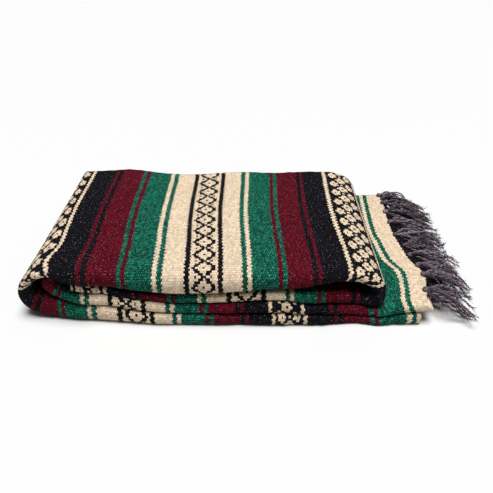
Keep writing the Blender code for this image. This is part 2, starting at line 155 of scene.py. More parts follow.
CURL = (
    (0, -0.2860, 0.0560, -0.2960, 0.0372, -0.1540),
    (1, -0.2950, 0.0625, -0.3140, 0.0440, -0.1510),
    (2, -0.2990, 0.0700, -0.3225, 0.0550, -0.1490),
    (3, -0.3000, 0.0755, -0.3220, 0.0660, -0.1480),
    (4, -0.3000, 0.0800, -0.3150, 0.0750, -0.1470),
)
HEM_COLUMNS = ("y", "x", "tips")
HEM = (
    (-0.185, 0.2680, 0.3250),
    (-0.130, 0.2805, 0.3560),
    (-0.090, 0.2895, 0.3600),
    (-0.050, 0.2865, 0.3570),
    (-0.010, 0.2770, 0.3530),
    (0.040, 0.2740, 0.3500),
    (0.100, 0.2730, 0.3540),
    (0.150, 0.2710, 0.3380),
    (0.190, 0.2690, 0.3150),
)
print("tables:", len(STACK), "places along the front,", len(HEM), "along the hem")

# %% A smooth curve through a table


def read_table(rows, columns, column, at):
    """The named column at these places, on a smooth curve through the rows."""
    table = np.array(rows, float)
    places, values = table[:, 0], table[:, columns.index(column)]
    at = np.clip(at, places[0], places[-1])
    k = np.clip(np.searchsorted(places, at) - 1, 0, len(rows) - 2)
    before = np.maximum(np.arange(len(rows)) - 1, 0)
    after = np.minimum(np.arange(len(rows)) + 1, len(rows) - 1)
    slopes = (values[after] - values[before]) / (places[after] - places[before])
    width = places[k + 1] - places[k]
    t = (at - places[k]) / width
    start = (2 * t**3 - 3 * t**2 + 1) * values[k] + (t**3 - 2 * t**2 + t) * width * slopes[k]
    return start + (3 * t**2 - 2 * t**3) * values[k + 1] + (t**3 - t**2) * width * slopes[k + 1]


def stack(column, x):
    return read_table(STACK, STACK_COLUMNS, column, x)


def smooth_step(t):
    t = np.clip(t, 0.0, 1.0)
    return t * t * (3 - 2 * t)


def toward_back(y):
    """0 along the front, 1 from a little behind the middle to the back."""
    return smooth_step((y - FRONT_Y) / LEVELS_OVER)


print("the lower loop is", round(float(stack("lower_loop", 0.0)) / MM, 1), "mm high in the middle")

# %% [markdown]
# ## Where the stripes lie
# A woven stripe keeps its width, so the pattern needs one number for each point of the cloth: its
# distance from the fringed end, measured along the blanket. Small tables give that distance where the
# photograph shows stripes, and the cloth between them follows. The other number is the distance from
# the selvedge, which the fold gives by itself.

# %% Distance along the cloth, by strip
LOWER_SUM = (  # lower loop: x, and the distance plus x
    (-0.337, 0.2860),
    (-0.297, 0.2781),
    (-0.250, 0.2738),
    (-0.205, 0.2775),
    (-0.155, 0.2767),
    (-0.110, 0.2740),
    (0.000, 0.2732),
    (0.050, 0.2717),
    (0.085, 0.2725),
    (0.130, 0.2785),
    (0.190, 0.2800),
    (0.250, 0.2857),
)
UPPER_SUM = (  # upper loop
    (-0.300, 0.2665),
    (-0.245, 0.2650),
    (-0.190, 0.2640),
    (0.050, 0.2665),
    (0.150, 0.2710),
    (0.240, 0.2765),
)
SUM_COLUMNS = ("x", "sum")
PANEL_SUM = (  # visible panel: y, and the distance plus x
    (-0.160, 0.2765),
    (-0.130, 0.2817),
    (-0.090, 0.2837),
    (-0.055, 0.2703),
    (-0.010, 0.2650),
    (0.040, 0.2606),
    (0.100, 0.2630),
    (0.165, 0.2669),
)
MIDDLE_SUM = (  # turned-under layer: x, and the distance plus x
    (-0.270, 1.4154),
    (-0.220, 1.4190),
    (-0.170, 1.4210),
    (-0.120, 1.4195),
    (-0.070, 1.4150),
    (0.000, 1.4175),
    (0.050, 1.4179),
    (0.110, 1.4145),
    (0.168, 1.4120),
)
PANEL_SHOWS = (0.120, 0.080)  # the panel shows from this x on, over this length
print("stripe tables:", len(LOWER_SUM), len(UPPER_SUM), len(PANEL_SUM), len(MIDDLE_SUM), "rows")

# %% Distance along the cloth, on the top and the ends
SIDES = ("front", "back")
TOP_COLUMNS = ("x", *SIDES)
TOP_PULL = (  # top: how far the cloth runs ahead of its place, at the front and the back
    (-0.305, 0.0115, 0.0020),
    (-0.255, 0.0092, -0.0027),
    (-0.240, 0.0085, -0.0034),
    (-0.200, 0.0066, 0.0008),
    (-0.140, 0.0038, 0.0006),
    (-0.095, -0.0006, -0.0008),
    (-0.045, 0.0003, 0.0000),
    (0.000, 0.0007, -0.0012),
    (0.050, -0.0015, -0.0018),
    (0.100, 0.0018, 0.0038),
    (0.144, -0.0010, 0.0031),
    (0.152, 0.0001, 0.0023),
)
TOP_OFFSET = 1.0099  # distance along the cloth at the middle of the top
TOP_BOW = 0.0040  # the stripes bow to the left between the front and the back
NOSE_CLOTH = 1.2180  # at the right end of the top roll
TURN_CLOTH = 1.2275  # and where it has turned under
LEFT_COLUMNS = ("turn", *SIDES)
LEFT_CLOTH = (  # left end, by the turn from the floor at 0 to the top at pi
    (0.00, 0.5865, 0.5865),
    (0.64, 0.6208, 0.6120),
    (1.571, 0.6550, 0.6440),
    (2.600, 0.6994, 0.6950),
    (3.142, 0.7160, 0.7068),
)
CORNER = (-0.298, -0.128)  # where the front corner of the top was drawn to the left
CORNER_SPREAD = (0.045, 0.027)
CORNER_PULL = 0.0105
CORNER_TURNS = (1.2, 1.9)  # the pull grows from this turn on, over this much
print("left end:", LEFT_CLOTH[0][1], "to", LEFT_CLOTH[-1][1], "m from the fringe")

# %% Distance along the cloth at any place


def lower_cloth(x):
    return read_table(LOWER_SUM, SUM_COLUMNS, "sum", x) - x


def middle_cloth(x):
    return read_table(MIDDLE_SUM, SUM_COLUMNS, "sum", x) - x


def panel_cloth(x, y):
    shown = smooth_step((x - PANEL_SHOWS[0]) / PANEL_SHOWS[1])
    panel = read_table(PANEL_SUM, SUM_COLUMNS, "sum", y)
    return shown * panel + (1 - shown) * read_table(UPPER_SUM, SUM_COLUMNS, "sum", x) - x


def mix_depth(y, front, back):
    share = np.clip((y - FRONT_Y) / (BACK_Y - FRONT_Y), 0, 1)
    return front + share * (back - front)


def corner_pull(x, y):
    """How far the cloth of the front left corner was drawn along."""
    away = ((x - CORNER[0]) / CORNER_SPREAD[0]) ** 2 + ((y - CORNER[1]) / CORNER_SPREAD[1]) ** 2
    return CORNER_PULL * np.exp(-away)


def top_cloth(x, y):
    pull = mix_depth(y, *(read_table(TOP_PULL, TOP_COLUMNS, side, x) for side in SIDES))
    depth = np.clip((y - FRONT_Y) / (BACK_Y - FRONT_Y), 0, 1)
    return x + TOP_OFFSET + pull + TOP_BOW * np.sin(math.pi * depth) ** 2 + corner_pull(x, y)


def left_cloth(turn, y):
    pull = corner_pull(LEFT_X, y) * smooth_step((turn - CORNER_TURNS[0]) / CORNER_TURNS[1])
    return pull + mix_depth(y, *(read_table(LEFT_CLOTH, LEFT_COLUMNS, side, turn) for side in SIDES))


def shoulder_cloth(turn, y):
    start = top_cloth(SHOULDER_X, y)
    share = 0.5 * math.sin(turn) + 0.5 * turn / (math.pi / 2)
    return start + (NOSE_CLOTH - start) * share


print("cloth at the middle of the top:", round(float(top_cloth(0.0, 0.0)), 3), "m from the fringe")

# %% [markdown]
# ## Soft folds
# A blanket that has been folded and carried isn't flat: shallow troughs run across its top, and the
# loops at its front pucker. Each trough here was placed as a line with a length, a width and
# a depth, and no two are alike. They fade out smoothly, so they catch light without looking cut.

# %% Troughs in the top
TROUGHS = (  # x, y, angle in degrees from the direction of the loops, length, width, depth
    (-0.262, 0.020, 78, 0.120, 0.016, 0.0018),
    (-0.205, -0.100, 96, 0.060, 0.014, 0.0014),
    (-0.168, 0.060, 84, 0.090, 0.022, 0.0020),
    (-0.115, -0.040, 18, 0.075, 0.013, 0.0011),
    (-0.052, 0.105, 88, 0.070, 0.018, 0.0015),
    (-0.010, -0.085, 100, 0.080, 0.020, 0.0016),
    (0.032, 0.030, 72, 0.065, 0.015, 0.0013),
    (0.078, -0.060, 108, 0.090, 0.019, 0.0018),
    (0.088, 0.110, 95, 0.060, 0.016, 0.0014),
    (0.118, -0.010, 60, 0.055, 0.012, 0.0012),
)
TROUGH_BEND = 0.1  # how much a trough bows over its length
print(len(TROUGHS), "troughs, the deepest", max(row[-1] for row in TROUGHS) / MM, "mm")

# %% Puckers in the loops
PUCKERS = {  # along each loop: x, width, and how far its front is drawn in or stands out
    "lower": (
        (-0.247, 0.012, 0.0016),
        (-0.141, 0.018, -0.0012),
        (-0.020, 0.013, 0.0014),
        (0.071, 0.016, 0.0018),
        (0.112, 0.010, -0.0012),
        (0.163, 0.014, 0.0012),
        (0.221, 0.012, 0.0014),
    ),
    "upper": (
        (-0.222, 0.015, 0.0014),
        (-0.103, 0.012, 0.0013),
        (-0.034, 0.016, -0.0012),
        (0.050, 0.012, 0.0012),
        (0.101, 0.014, 0.0016),
        (0.188, 0.012, 0.0012),
    ),
    "middle": (
        (-0.232, 0.010, 0.0015),
        (-0.176, 0.012, -0.0010),
        (-0.088, 0.012, 0.0016),
        (0.013, 0.010, 0.0012),
        (0.062, 0.014, 0.0014),
        (0.121, 0.010, 0.0012),
    ),
    "roll": (
        (-0.226, 0.020, 0.0020),
        (-0.120, 0.018, -0.0014),
        (-0.030, 0.022, 0.0016),
        (0.060, 0.016, -0.0012),
        (0.100, 0.014, 0.0016),
    ),
}


def troughs(x, y):
    """How far the top sinks at this place."""
    depth = 0.0
    for cx, cy, angle, length, width, deep in TROUGHS:
        turn = math.radians(angle)
        along = (x - cx) * math.cos(turn) + (y - cy) * math.sin(turn)
        across = -(x - cx) * math.sin(turn) + (y - cy) * math.cos(turn)
        bend = TROUGH_BEND * along * along / length
        depth = depth + deep * np.exp(-((along / (0.5 * length)) ** 2) - ((across - bend) / width) ** 2)
    return depth


def pucker(loop, x):
    """How far the loop's front is drawn in at this place."""
    return sum(deep * np.exp(-(((x - at) / width) ** 2)) for at, width, deep in PUCKERS[loop])


print(sum(len(rows) for rows in PUCKERS.values()), "puckers")

# %% [markdown]
# ## Sections of a folded strip
# A strip is drawn as a row of sections. Each runs from the selvedge at the back to the front, round the
# fold loop and a little way back inside. The rules for heights are the ones that the solids were built
# from. The grid is finer, about one yarn of weave to a step, so that the folds are smooth.

# %% One section, from the selvedge round its loop
STEP = 0.0046  # how far the sections lie apart, and the points on a ply
PLY_STEPS = 62
BEND_STEPS = 7
LOOP_STEPS = 20
INSIDE_STEPS = 7


class Section:
    """One section: its near ply, its far ply, the loop between them and its place along the cloth."""

    def __init__(self, near, far, front, cloth, inset=0.0):
        self.near = near  # a function of y that gives (x, z) of the near ply's outer face
        self.far = far
        self.front = front
        self.cloth = cloth  # a function of y that gives the distance from the fringed end
        self.inset = inset

    def points(self):
        """Rows of x, y, z, distance along the cloth and distance from the selvedge."""
        near_x, near_z = self.near(np.array([PLY_END]))
        far_x, far_z = self.far
        height = math.hypot(far_x - near_x[0], far_z - near_z[0])
        edge = self.front + LOOP_ROUND * height / 2
        flat = np.linspace(BACK_Y, PLY_END, PLY_STEPS)
        bend = np.linspace(PLY_END, edge, BEND_STEPS + 1)[1:]
        level = np.concatenate([flat, bend])
        x, z = self.near(level)
        y = level - self.inset * np.maximum(level, 0) / BACK_Y
        turn = math.pi * np.arange(1, LOOP_STEPS + 1) / LOOP_STEPS
        share = (1 - np.cos(turn)) / 2
        loop_x = x[-1] + share * (far_x - x[-1])
        loop_y = edge - (edge - self.front) * np.abs(np.sin(turn)) ** LOOP_FULL
        loop_z = z[-1] + share * (far_z - z[-1])
        inside = np.linspace(edge, RETURN_END, INSIDE_STEPS + 1)[1:]
        x = np.concatenate([x, loop_x, np.full(INSIDE_STEPS, far_x)])
        y = np.concatenate([y, loop_y, inside])
        z = np.concatenate([z, loop_z, np.full(INSIDE_STEPS, far_z)])
        along = self.cloth(np.minimum(y, BACK_Y)) + np.zeros(len(x))
        along[len(level) :] = self.cloth(edge)
        steps = np.sqrt(np.diff(x) ** 2 + np.diff(y) ** 2 + np.diff(z) ** 2)
        across = np.concatenate([[0.0], np.cumsum(steps)])
        across[: len(level)] = BACK_Y - level
        across[len(level) :] += across[len(level) - 1] - np.sum(steps[: len(level) - 1])
        return np.column_stack([x, y, z, along, across])


# %% Heights that several stretches share


def level(x, z):
    """A near ply that doesn't change from front to back."""
    return lambda y: (np.full(len(y), x), np.full(len(y), z))


def bottom_layer(x, y):
    t = toward_back(y)
    return (1 - t) * stack("bottom_layer", x) + t * LEVEL_BACK


def top_face(x, y):
    t = toward_back(y)
    return (1 - t) * TOP_FRONT + t * stack("top_back", x) - troughs(x, y)


def hem_line(y):
    return read_table(HEM, HEM_COLUMNS, "x", y)


def skewed(x, y):
    pull = smooth_step((x - SKEW_END) / (HEM_X - SKEW_END))
    return x + (hem_line(y) - HEM_X) * pull


def places(start, end, step=STEP):
    """Even places from start up to, but without, end."""
    count = max(2, round(abs(end - start) / step))
    return [start + (end - start) * i / count for i in range(count)]


probe = Section(level(0.0, 0.0), (0.0, 0.022), -0.178, lambda y: lower_cloth(0.0)).points()
print("a section has", len(probe), "points and is", round(probe[-1, 4], 3), "m across")

# %% [markdown]
# ## The outer strip, stretch by stretch
# Six stretches follow the cloth from its fringed end: along the floor, up over the left end, along the
# top, over the shoulder at the right, round the tight turn, and back to the left under the top. Each
# has its own path and its own front edge, so each is a short function that lists its sections.

# %% Along the floor


def floor_stretch():
    """The lowest near ply, with the lower loop at the front."""
    found = []
    for x in places(HEM_X, LEFT_X):
        front = stack("front", x) + pucker("lower", x)
        far = (x, float(stack("lower_loop", x)) - SEAM)
        found.append(Section(level(x, 0.0), far, front, lambda y, x=x: lower_cloth(x)))
    return found


outer = floor_stretch()
print("along the floor:", len(outer), "sections")

# %% Up over the left end
LEFT_STEPS = 34


def left_ply(turn):
    """The ply wrapped over the left end, from the floor at turn 0 to the top at turn pi."""

    def place(y):
        reach = LEFT_REACH - LEFT_TAPER * (y - FRONT_Y) / (BACK_Y - FRONT_Y)
        share = ((1 - math.cos(turn)) / 2) ** LEFT_LIFT
        return LEFT_X - reach * math.sin(turn) ** LEFT_POINT, share * top_face(LEFT_X, y)

    return place


def left_stretch():
    """The wrap over the left end, whose loop opens like a mouth towards the front."""
    found = []
    low, high = stack("lower_loop", LEFT_X) - SEAM, stack("roll_under", LEFT_X)
    for i in range(LEFT_STEPS):
        turn = math.pi * i / LEFT_STEPS
        far_x = LEFT_INNER_X - LEFT_INNER_REACH * math.sin(turn)
        far_z = (low + high) / 2 - (high - low) / 2 * math.cos(turn)
        front = stack("front", LEFT_X) + LEFT_DRAWN_IN * math.sin(turn)
        cloth = lambda y, turn=turn: left_cloth(turn, y)
        found.append(Section(left_ply(turn), (far_x, far_z), front, cloth, TOP_INSET * turn / math.pi))
    return found


outer += left_stretch()
print("with the left end:", len(outer), "sections")

# %% Along the top
ROLL_LEAN = 0.0050  # how far the front edge of the top roll leans out at most
ROLL_DROOP = 0.0024  # and hangs down
SAG_ENDS = (0.040, 0.030)  # lengths over which the sag fades at the two ends
SAG_RIGHT = (0.6, -0.020, 0.060)  # how much less it is at the right, from this x on, over this length


def roll_sag(x):
    """The share of the lean and the droop at this place: most left of the middle, none at the ends."""
    ends = smooth_step((x - LEFT_X) / SAG_ENDS[0]) * smooth_step((SHOULDER_X - x) / SAG_ENDS[1])
    less, start, over = SAG_RIGHT
    return ends * (1 - less * smooth_step((x - start) / over))


def top_stretch():
    """The top that shows most, whose loop is the roll at the front."""
    found = []
    for x in places(LEFT_X, SHOULDER_X):
        set_back = ROLL_SETBACK * smooth_step((x - LEFT_X) / ROLL_STARTS)
        front = stack("front", x) + set_back + pucker("roll", x) - ROLL_LEAN * roll_sag(x)
        near = lambda y, x=x: (np.full(len(y), x), top_face(x, y))
        far = (x, float(stack("roll_under", x) - ROLL_DROOP * roll_sag(x)))
        found.append(Section(near, far, front, lambda y, x=x: top_cloth(x, y), TOP_INSET))
    return found


outer += top_stretch()
print("with the top:", len(outer), "sections")

# %% Over the shoulder
SHOULDER_STEPS = 22


def shoulder_ply(x, turn):
    return lambda y: (np.full(len(y), x), NOSE_Z + (top_face(SHOULDER_X, y) - NOSE_Z) * math.cos(turn))


def shoulder_stretch():
    """The quarter turn down at the right end."""
    found = []
    for i in range(SHOULDER_STEPS):
        turn = math.pi / 2 * i / SHOULDER_STEPS
        out_x = SHOULDER_X + (NOSE_X - SHOULDER_X) * math.sin(turn)
        in_x = SHOULDER_X + (INNER_TURN_X - SHOULDER_X) * i / SHOULDER_STEPS
        front = stack("front", in_x) + ROLL_SETBACK
        cloth = lambda y, turn=turn: shoulder_cloth(turn, y)
        inset = TOP_INSET * (1 - i / SHOULDER_STEPS)
        inner = (in_x, stack("roll_under", in_x))
        found.append(Section(shoulder_ply(out_x, turn), inner, front, cloth, inset))
    return found


outer += shoulder_stretch()
print("with the shoulder:", len(outer), "sections")

# %% Round the tight turn
NOSE_STEPS = 9


def nose_ply(x, turn):
    """The tight turn under, down to just above the bottom layer."""

    def place(y):
        low = bottom_layer(NOSE_X - TURN_DEPTH, y) + REST
        return np.full(len(y), x), low + (NOSE_Z - low) * (1 - math.sin(turn))

    return place


def nose_stretch():
    found = []
    high, low = stack("roll_under", INNER_TURN_X), stack("middle_layer", INNER_TURN_X)
    for i in range(NOSE_STEPS):
        turn = math.pi / 2 * i / NOSE_STEPS
        out_x = NOSE_X - TURN_DEPTH * (1 - math.cos(turn))
        in_x = INNER_TURN_X + INNER_TURN_REACH * math.sin(2 * turn)
        in_z = (high + low) / 2 + (high - low) / 2 * math.cos(2 * turn)
        front = stack("front", in_x) + ROLL_SETBACK
        cloth = lambda y, i=i: NOSE_CLOTH + (TURN_CLOTH - NOSE_CLOTH) * i / NOSE_STEPS
        found.append(Section(nose_ply(out_x, turn), (in_x, in_z), front, cloth))
    return found


outer += nose_stretch()
print("with the tight turn:", len(outer), "sections")

# %% Back to the left, under the top
TURNED_X = NOSE_X - TURN_DEPTH  # where the tight turn ends


def under_cloth(x):
    """Distance along the cloth, from the end of the tight turn on."""
    if x <= UNDER_X:
        return middle_cloth(x)
    return TURN_CLOTH + (middle_cloth(UNDER_X) - TURN_CLOTH) * (TURNED_X - x) / (TURNED_X - UNDER_X)


def under_stretch():
    """The turned-under layer, with the middle loop at the front."""
    found = []
    for x in places(TURNED_X, UNDER_X) + places(UNDER_X, PANEL_LEFT) + [PANEL_LEFT]:
        front = stack("front", x) + MIDDLE_SETBACK + pucker("middle", x)
        near = lambda y, x=x: (np.full(len(y), x), bottom_layer(x, y) + REST)
        far = (min(x, INNER_TURN_X), float(stack("middle_layer", x)))
        found.append(Section(near, far, front, lambda y, x=x: under_cloth(x)))
    return found


outer += under_stretch()
print("outer strip:", len(outer), "sections")

# %% [markdown]
# ## The upper strip
# The bottom layer has a second strip on it. It starts at the hem with the visible fringe, where the
# fold was pulled askew, so that its hem is a slanting line. Its left end curls up inside the wrap. The
# curl is a row of places and heights, and each section of it takes a place between two rows.

# %% The panel and its curl
CURL_STEPS = 16
CURL_CLOTH = 0.086  # length of cloth in the curl
CURL_EASE = 0.85  # below 1 the stripes lie wider apart at the curl's start


def panel_stretch():
    """The panel with the visible fringe, and the upper loop at the front."""
    found = []
    for x in places(HEM_X, PANEL_LEFT) + [PANEL_LEFT]:
        near = lambda y, x=x: (skewed(x, y), bottom_layer(skewed(x, y), y))
        far_x = float(skewed(x, PLY_END))
        apart = SEAM if x == far_x else SEAM + REST
        front = stack("front", x) + UPPER_SETBACK + pucker("upper", x)
        cloth = lambda y, x=x: panel_cloth(skewed(x, y), y)
        found.append(Section(near, (far_x, float(stack("lower_loop", far_x)) + apart), front, cloth))
    return found


def curl_stretch():
    found = []
    low = {"near": stack("bottom_layer", PANEL_LEFT), "far": stack("lower_loop", PANEL_LEFT) + SEAM}
    sink = low["near"] - LEVEL_BACK
    start = float(panel_cloth(PANEL_LEFT, FRONT_Y))
    for i in range(1, CURL_STEPS + 1):
        row = -1 + len(CURL) * i / CURL_STEPS
        near_x, near_z, far_x, far_z, front = (
            read_table(CURL, CURL_COLUMNS, name, max(row, 0)) for name in CURL_COLUMNS[1:]
        )
        if row < 0:  # between the panel's end and the first row
            near_x, far_x = (PANEL_LEFT + (x - PANEL_LEFT) * (row + 1) for x in (near_x, far_x))
            near_z = low["near"] + (near_z - low["near"]) * (row + 1)
            far_z = low["far"] + (far_z - low["far"]) * (row + 1)
            front = (stack("front", PANEL_LEFT) + UPPER_SETBACK) * -row + front * (row + 1)
        left = 1 - (row + 1) / len(CURL)
        near = lambda y, x=near_x, z=near_z, left=left: (
            np.full(len(y), x),
            z - sink * left * toward_back(y),
        )
        cloth = lambda y, i=i: start + CURL_CLOTH * (i / CURL_STEPS) ** CURL_EASE
        found.append(Section(near, (float(far_x), float(far_z)), float(front), cloth))
    return found


upper = panel_stretch() + curl_stretch()
print("upper strip:", len(upper), "sections")

# %% [markdown]
# ## Cloth from sections
# Each strip becomes one sheet of faces with two numbers stored at every corner, the distance along the
# cloth and the distance from the selvedge. They are kept as a UV map in metres, so that the weave has
# its real size everywhere. A thickness of one ply is then added to the inside of the loops.

# %% A mesh that knows its place in the cloth


def cloth_object(name, points, faces, in_cloth):
    """An object of these points and faces. in_cloth has two numbers for each point, for the UV map."""
    mesh = bpy.data.meshes.new(name)
    mesh.from_pydata(points.tolist(), [], faces)
    layer = mesh.uv_layers.new(name="cloth")
    corner = np.zeros(len(mesh.loops), int)
    mesh.loops.foreach_get("vertex_index", corner)
    layer.data.foreach_set("uv", in_cloth[corner].ravel())
    mesh.shade_smooth()
    piece = bpy.data.objects.new(name, mesh)
    collection.objects.link(piece)
    piece.location = SHIFT
    return piece


# %% The surface of thick yarn
UNEVEN = 0.0005  # how far thick handspun yarn lets the surface wander
WAVES = (  # share, then two waves that cross: radians per metre of x, y and z, and phase
    (0.50, (310, 40, 0, 2.1), (0, 270, -55, 0.4)),
    (0.40, (173, -90, 0, 1.3), (0, 120, 260, 0.0)),
    (0.35, (520, 520, 0, 0.7), (430, -430, 300, 0.0)),
)


def wander(points):
    """A small smooth unevenness, made of three pairs of crossing waves of unlike lengths."""
    height = 0.0
    for share, *waves in WAVES:
        first, second = (np.sin(points[..., :3] @ np.array(wave[:3], float) + wave[3]) for wave in waves)
        height = height + share * first * second
    return UNEVEN * height


print("the surface wanders by up to", round(UNEVEN * sum(wave[0] for wave in WAVES) / MM, 2), "mm")

# %% Build the cloth shells
ON_FLOOR = 1e-4  # a point lower than this rests on the floor
TINY = 1e-9


def cloth_shell(name, sections, outside):
    """A sheet through the sections, one ply thick. outside is 1 or -1, the side that its loops face."""
    grid = np.array([section.points() for section in sections])
    rows, across = grid.shape[:2]
    normal = np.cross(np.gradient(grid[..., :3], axis=0), np.gradient(grid[..., :3], axis=1))
    normal /= np.maximum(np.linalg.norm(normal, axis=2, keepdims=True), TINY)
    lift = wander(grid) * np.where(grid[..., 2] < ON_FLOOR, 0.0, 1.0)
    points = grid[..., :3] + normal * lift[..., None]
    points[..., 2] = np.maximum(points[..., 2], 0.0)
    index = np.arange(rows * across).reshape(rows, across)
    quads = np.stack([index[:-1, :-1], index[:-1, 1:], index[1:, 1:], index[1:, :-1]], axis=-1)
    faces = quads.reshape(-1, 4).tolist()
    shell = cloth_object(name, points.reshape(-1, 3), faces, grid[..., 3:].reshape(-1, 2))
    thick = shell.modifiers.new("one ply", "SOLIDIFY")
    thick.thickness = PLY
    thick.offset = -1.0 * outside
    length, width = (
        float(np.linalg.norm(np.diff(grid[..., :3], axis=way), axis=2).sum(axis=way).mean())
        for way in (0, 1)
    )
    print(name, rows, "by", across, "points,", round(length, 3), "by", round(width, 3), "m flat")
    return shell, (round(width, 3), round(length, 3))


outer_shell, outer_flat = cloth_shell("outer_weave", outer, 1)
upper_shell, upper_flat = cloth_shell("upper_weave", upper, -1)

# %% [markdown]
# ## The plies folded away inside
# Between the shells lie the other plies of the folded strip. Only their back edges show, as soft rolls
# stacked on each other, and their ends under the fringe. They share one rounded body, as in the solids,
# whose section follows the strip round the left end. Its back is pressed into leaves of uneven depth.

# %% Rails of the hidden plies
FLOOR_POINTS = 6  # of a rail, from the hem to the place where the top turns under
PANEL_POINTS = 13  # and from there to the curl
NOSE_POINTS = 6
RAIL_FINE = 5  # points between two of the rails' own
CURL_OVER = 0.006  # the inner edge goes this far over the curl's end
CURL_TIP = (0.014, -0.008)  # and then here, in x and z from that end


def moved_aside(points, distance):
    """The points moved to the right of their path, square to it."""
    points = np.array(points, float)
    along = np.gradient(points, axis=0)
    along /= np.linalg.norm(along, axis=1, keepdims=True)
    return points + distance * np.column_stack([along[:, 1], -along[:, 0]])


def curl_path(y):
    """The curl's inner ply at this depth."""
    sink = stack("bottom_layer", PANEL_LEFT) - LEVEL_BACK
    left = [1 - (row[0] + 1) / len(CURL) for row in CURL]
    return [(row[1], float(row[2] - sink * share * toward_back(y))) for row, share in zip(CURL, left)]


def hidden_rails(y):
    """Outer edge, inner edge and distance along the cloth, point by point, at this depth."""
    skin = PLY + REST
    at = np.array([y])
    flat = [HEM_X + (UNDER_X - HEM_X) * i / FLOOR_POINTS for i in range(FLOOR_POINTS)]
    flat += [UNDER_X + (PANEL_LEFT - UNDER_X) * i / PANEL_POINTS for i in range(PANEL_POINTS + 1)]
    curl = curl_path(y)
    lifted = moved_aside([(x, float(bottom_layer(x, y))) for x in flat] + curl, -skin - SEAM)
    face = [(x, 0.0) for x in flat]
    inner = [(x, lifted[k][1] - (SLACK if x > SKEW_END else 0)) for k, x in enumerate(flat)]
    cloth = [float(lower_cloth(x)) for x in flat]
    end_x, end_z = curl[-1]
    around = [tuple(p) for p in lifted[len(flat) :]] + [(end_x - skin, end_z + SLACK)]
    around += [(end_x + CURL_OVER, end_z + SLACK), (end_x + CURL_TIP[0], end_z + CURL_TIP[1])]
    inner += around
    turns = [math.pi * (k + 0.5) / len(around) for k in range(len(around))]
    face += [tuple(float(v[0]) if np.ndim(v) else float(v) for v in left_ply(turn)(at)) for turn in turns]
    cloth += [float(left_cloth(turn, y)) for turn in turns]
    under = [x for x in reversed(flat) if x < SHOULDER_X and x <= UNDER_X]
    face += [(x, float(top_face(x, y))) for x in under]
    cloth += [float(top_cloth(x, y)) for x in under]
    for i in range(NOSE_POINTS + 1):
        turn = math.pi / 2 * i / NOSE_POINTS
        out_x = SHOULDER_X + (NOSE_X - SHOULDER_X) * math.sin(turn)
        face.append((out_x, float(shoulder_ply(out_x, turn)(at)[1][0])))
        cloth.append(float(shoulder_cloth(turn, y)))
        under.append(SHOULDER_X + (TURNED_X - SHOULDER_X) * i / NOSE_POINTS)
    inner += [(x, float(bottom_layer(x, y)) + REST + skin + SLACK / 2) for x in under]
    start, end = len(flat), len(flat) + len(around)
    outer_rail = moved_aside(face, skin)
    outer_rail[start:end] = moved_aside(face, skin + SLACK)[start:end]
    return np.column_stack([outer_rail, np.array(inner), cloth])


def finer(rail):
    """The rail with more points, on a smooth curve through its own."""
    rows = [(k, *values) for k, values in enumerate(rail)]
    names = ("row", *range(rail.shape[1]))
    at = np.linspace(0, len(rail) - 1, (len(rail) - 1) * RAIL_FINE + 1)
    return np.column_stack([read_table(rows, names, name, at) for name in names[1:]])


print("a rail has", len(finer(hidden_rails(0.0))), "points")

# %% The rounded body with its leaves
HIDDEN_DEPTHS = (HIDDEN_FRONT, -0.06, 0.0, 0.05, 0.10, HIDDEN_BACK)
INNER_SIDE = 0.33  # how much further across the cloth the inner side lies than the outer one
LEAVES = 3
LEAF_STEPS = 7
LEAF_DEPTH = 0.012
LEAF_FULL = 0.6  # below 1 a leaf is fuller than a half wave
LEAF_UNEVEN = 0.20  # share of a leaf's depth that comes and goes along the strip
LEAF_WAVE = (0.11, 0.05)  # radians for a point of the rail, and how much more in each next leaf
LEAF_PHASE = 2.1
LEAF_APART = 0.03  # from one leaf to the next, across the cloth


def hidden_body():
    """Rings of x, y, z and the place in the cloth, one ring for each point of the rails."""
    rails = [finer(hidden_rails(y)) for y in HIDDEN_DEPTHS]
    out_x, out_z, in_x, in_z, cloth = rails[-1].T
    count = len(out_x)
    share = np.arange(1, LEAVES * LEAF_STEPS) / (LEAVES * LEAF_STEPS)
    leaf = np.minimum((share * LEAVES).astype(int), LEAVES - 1)
    path = np.arange(count)[:, None]
    bulge = np.abs(np.sin(math.pi * LEAVES * share)) ** LEAF_FULL
    wave = np.sin(path * (LEAF_WAVE[0] + LEAF_WAVE[1] * leaf) + LEAF_PHASE * leaf)
    depth = LEAF_DEPTH * bulge * (1 - LEAF_UNEVEN + LEAF_UNEVEN * wave)
    columns = [[], []]
    for side in (0, 1):
        for y, rail in zip(HIDDEN_DEPTHS, rails):
            across = np.full(count, BACK_Y - y + INNER_SIDE * side)
            place = (rail[:, 2 * side], np.full(count, y), rail[:, 2 * side + 1])
            columns[side].append(np.column_stack([*place, rail[:, 4], across]))
    middle = []
    for j, part in enumerate(share):
        across = BACK_Y - HIDDEN_BACK - depth[:, j] + LEAF_APART * leaf[j]
        place = (out_x + part * (in_x - out_x), HIDDEN_BACK + depth[:, j], out_z + part * (in_z - out_z))
        middle.append(np.column_stack([*place, cloth, across]))
    return np.stack(columns[0] + middle + columns[1][::-1], axis=1)


def hidden_shell(name):
    grid = hidden_body()
    count, around = grid.shape[:2]
    index = np.arange(count * around).reshape(count, around)
    after = np.roll(index, -1, axis=1)
    quads = np.stack([index[:-1], after[:-1], after[1:], index[1:]], axis=-1).reshape(-1, 4).tolist()
    ends = [index[0][::-1].tolist(), index[-1].tolist()]
    body = cloth_object(name, grid[..., :3].reshape(-1, 3), quads + ends, grid[..., 3:].reshape(-1, 2))
    bm = bmesh.new()
    bm.from_mesh(body.data)
    bmesh.ops.recalc_face_normals(bm, faces=bm.faces)
    bm.to_mesh(body.data)
    bm.free()
    print(name, count, "by", around, "points")
    return body


hidden = hidden_shell("folded_plies")

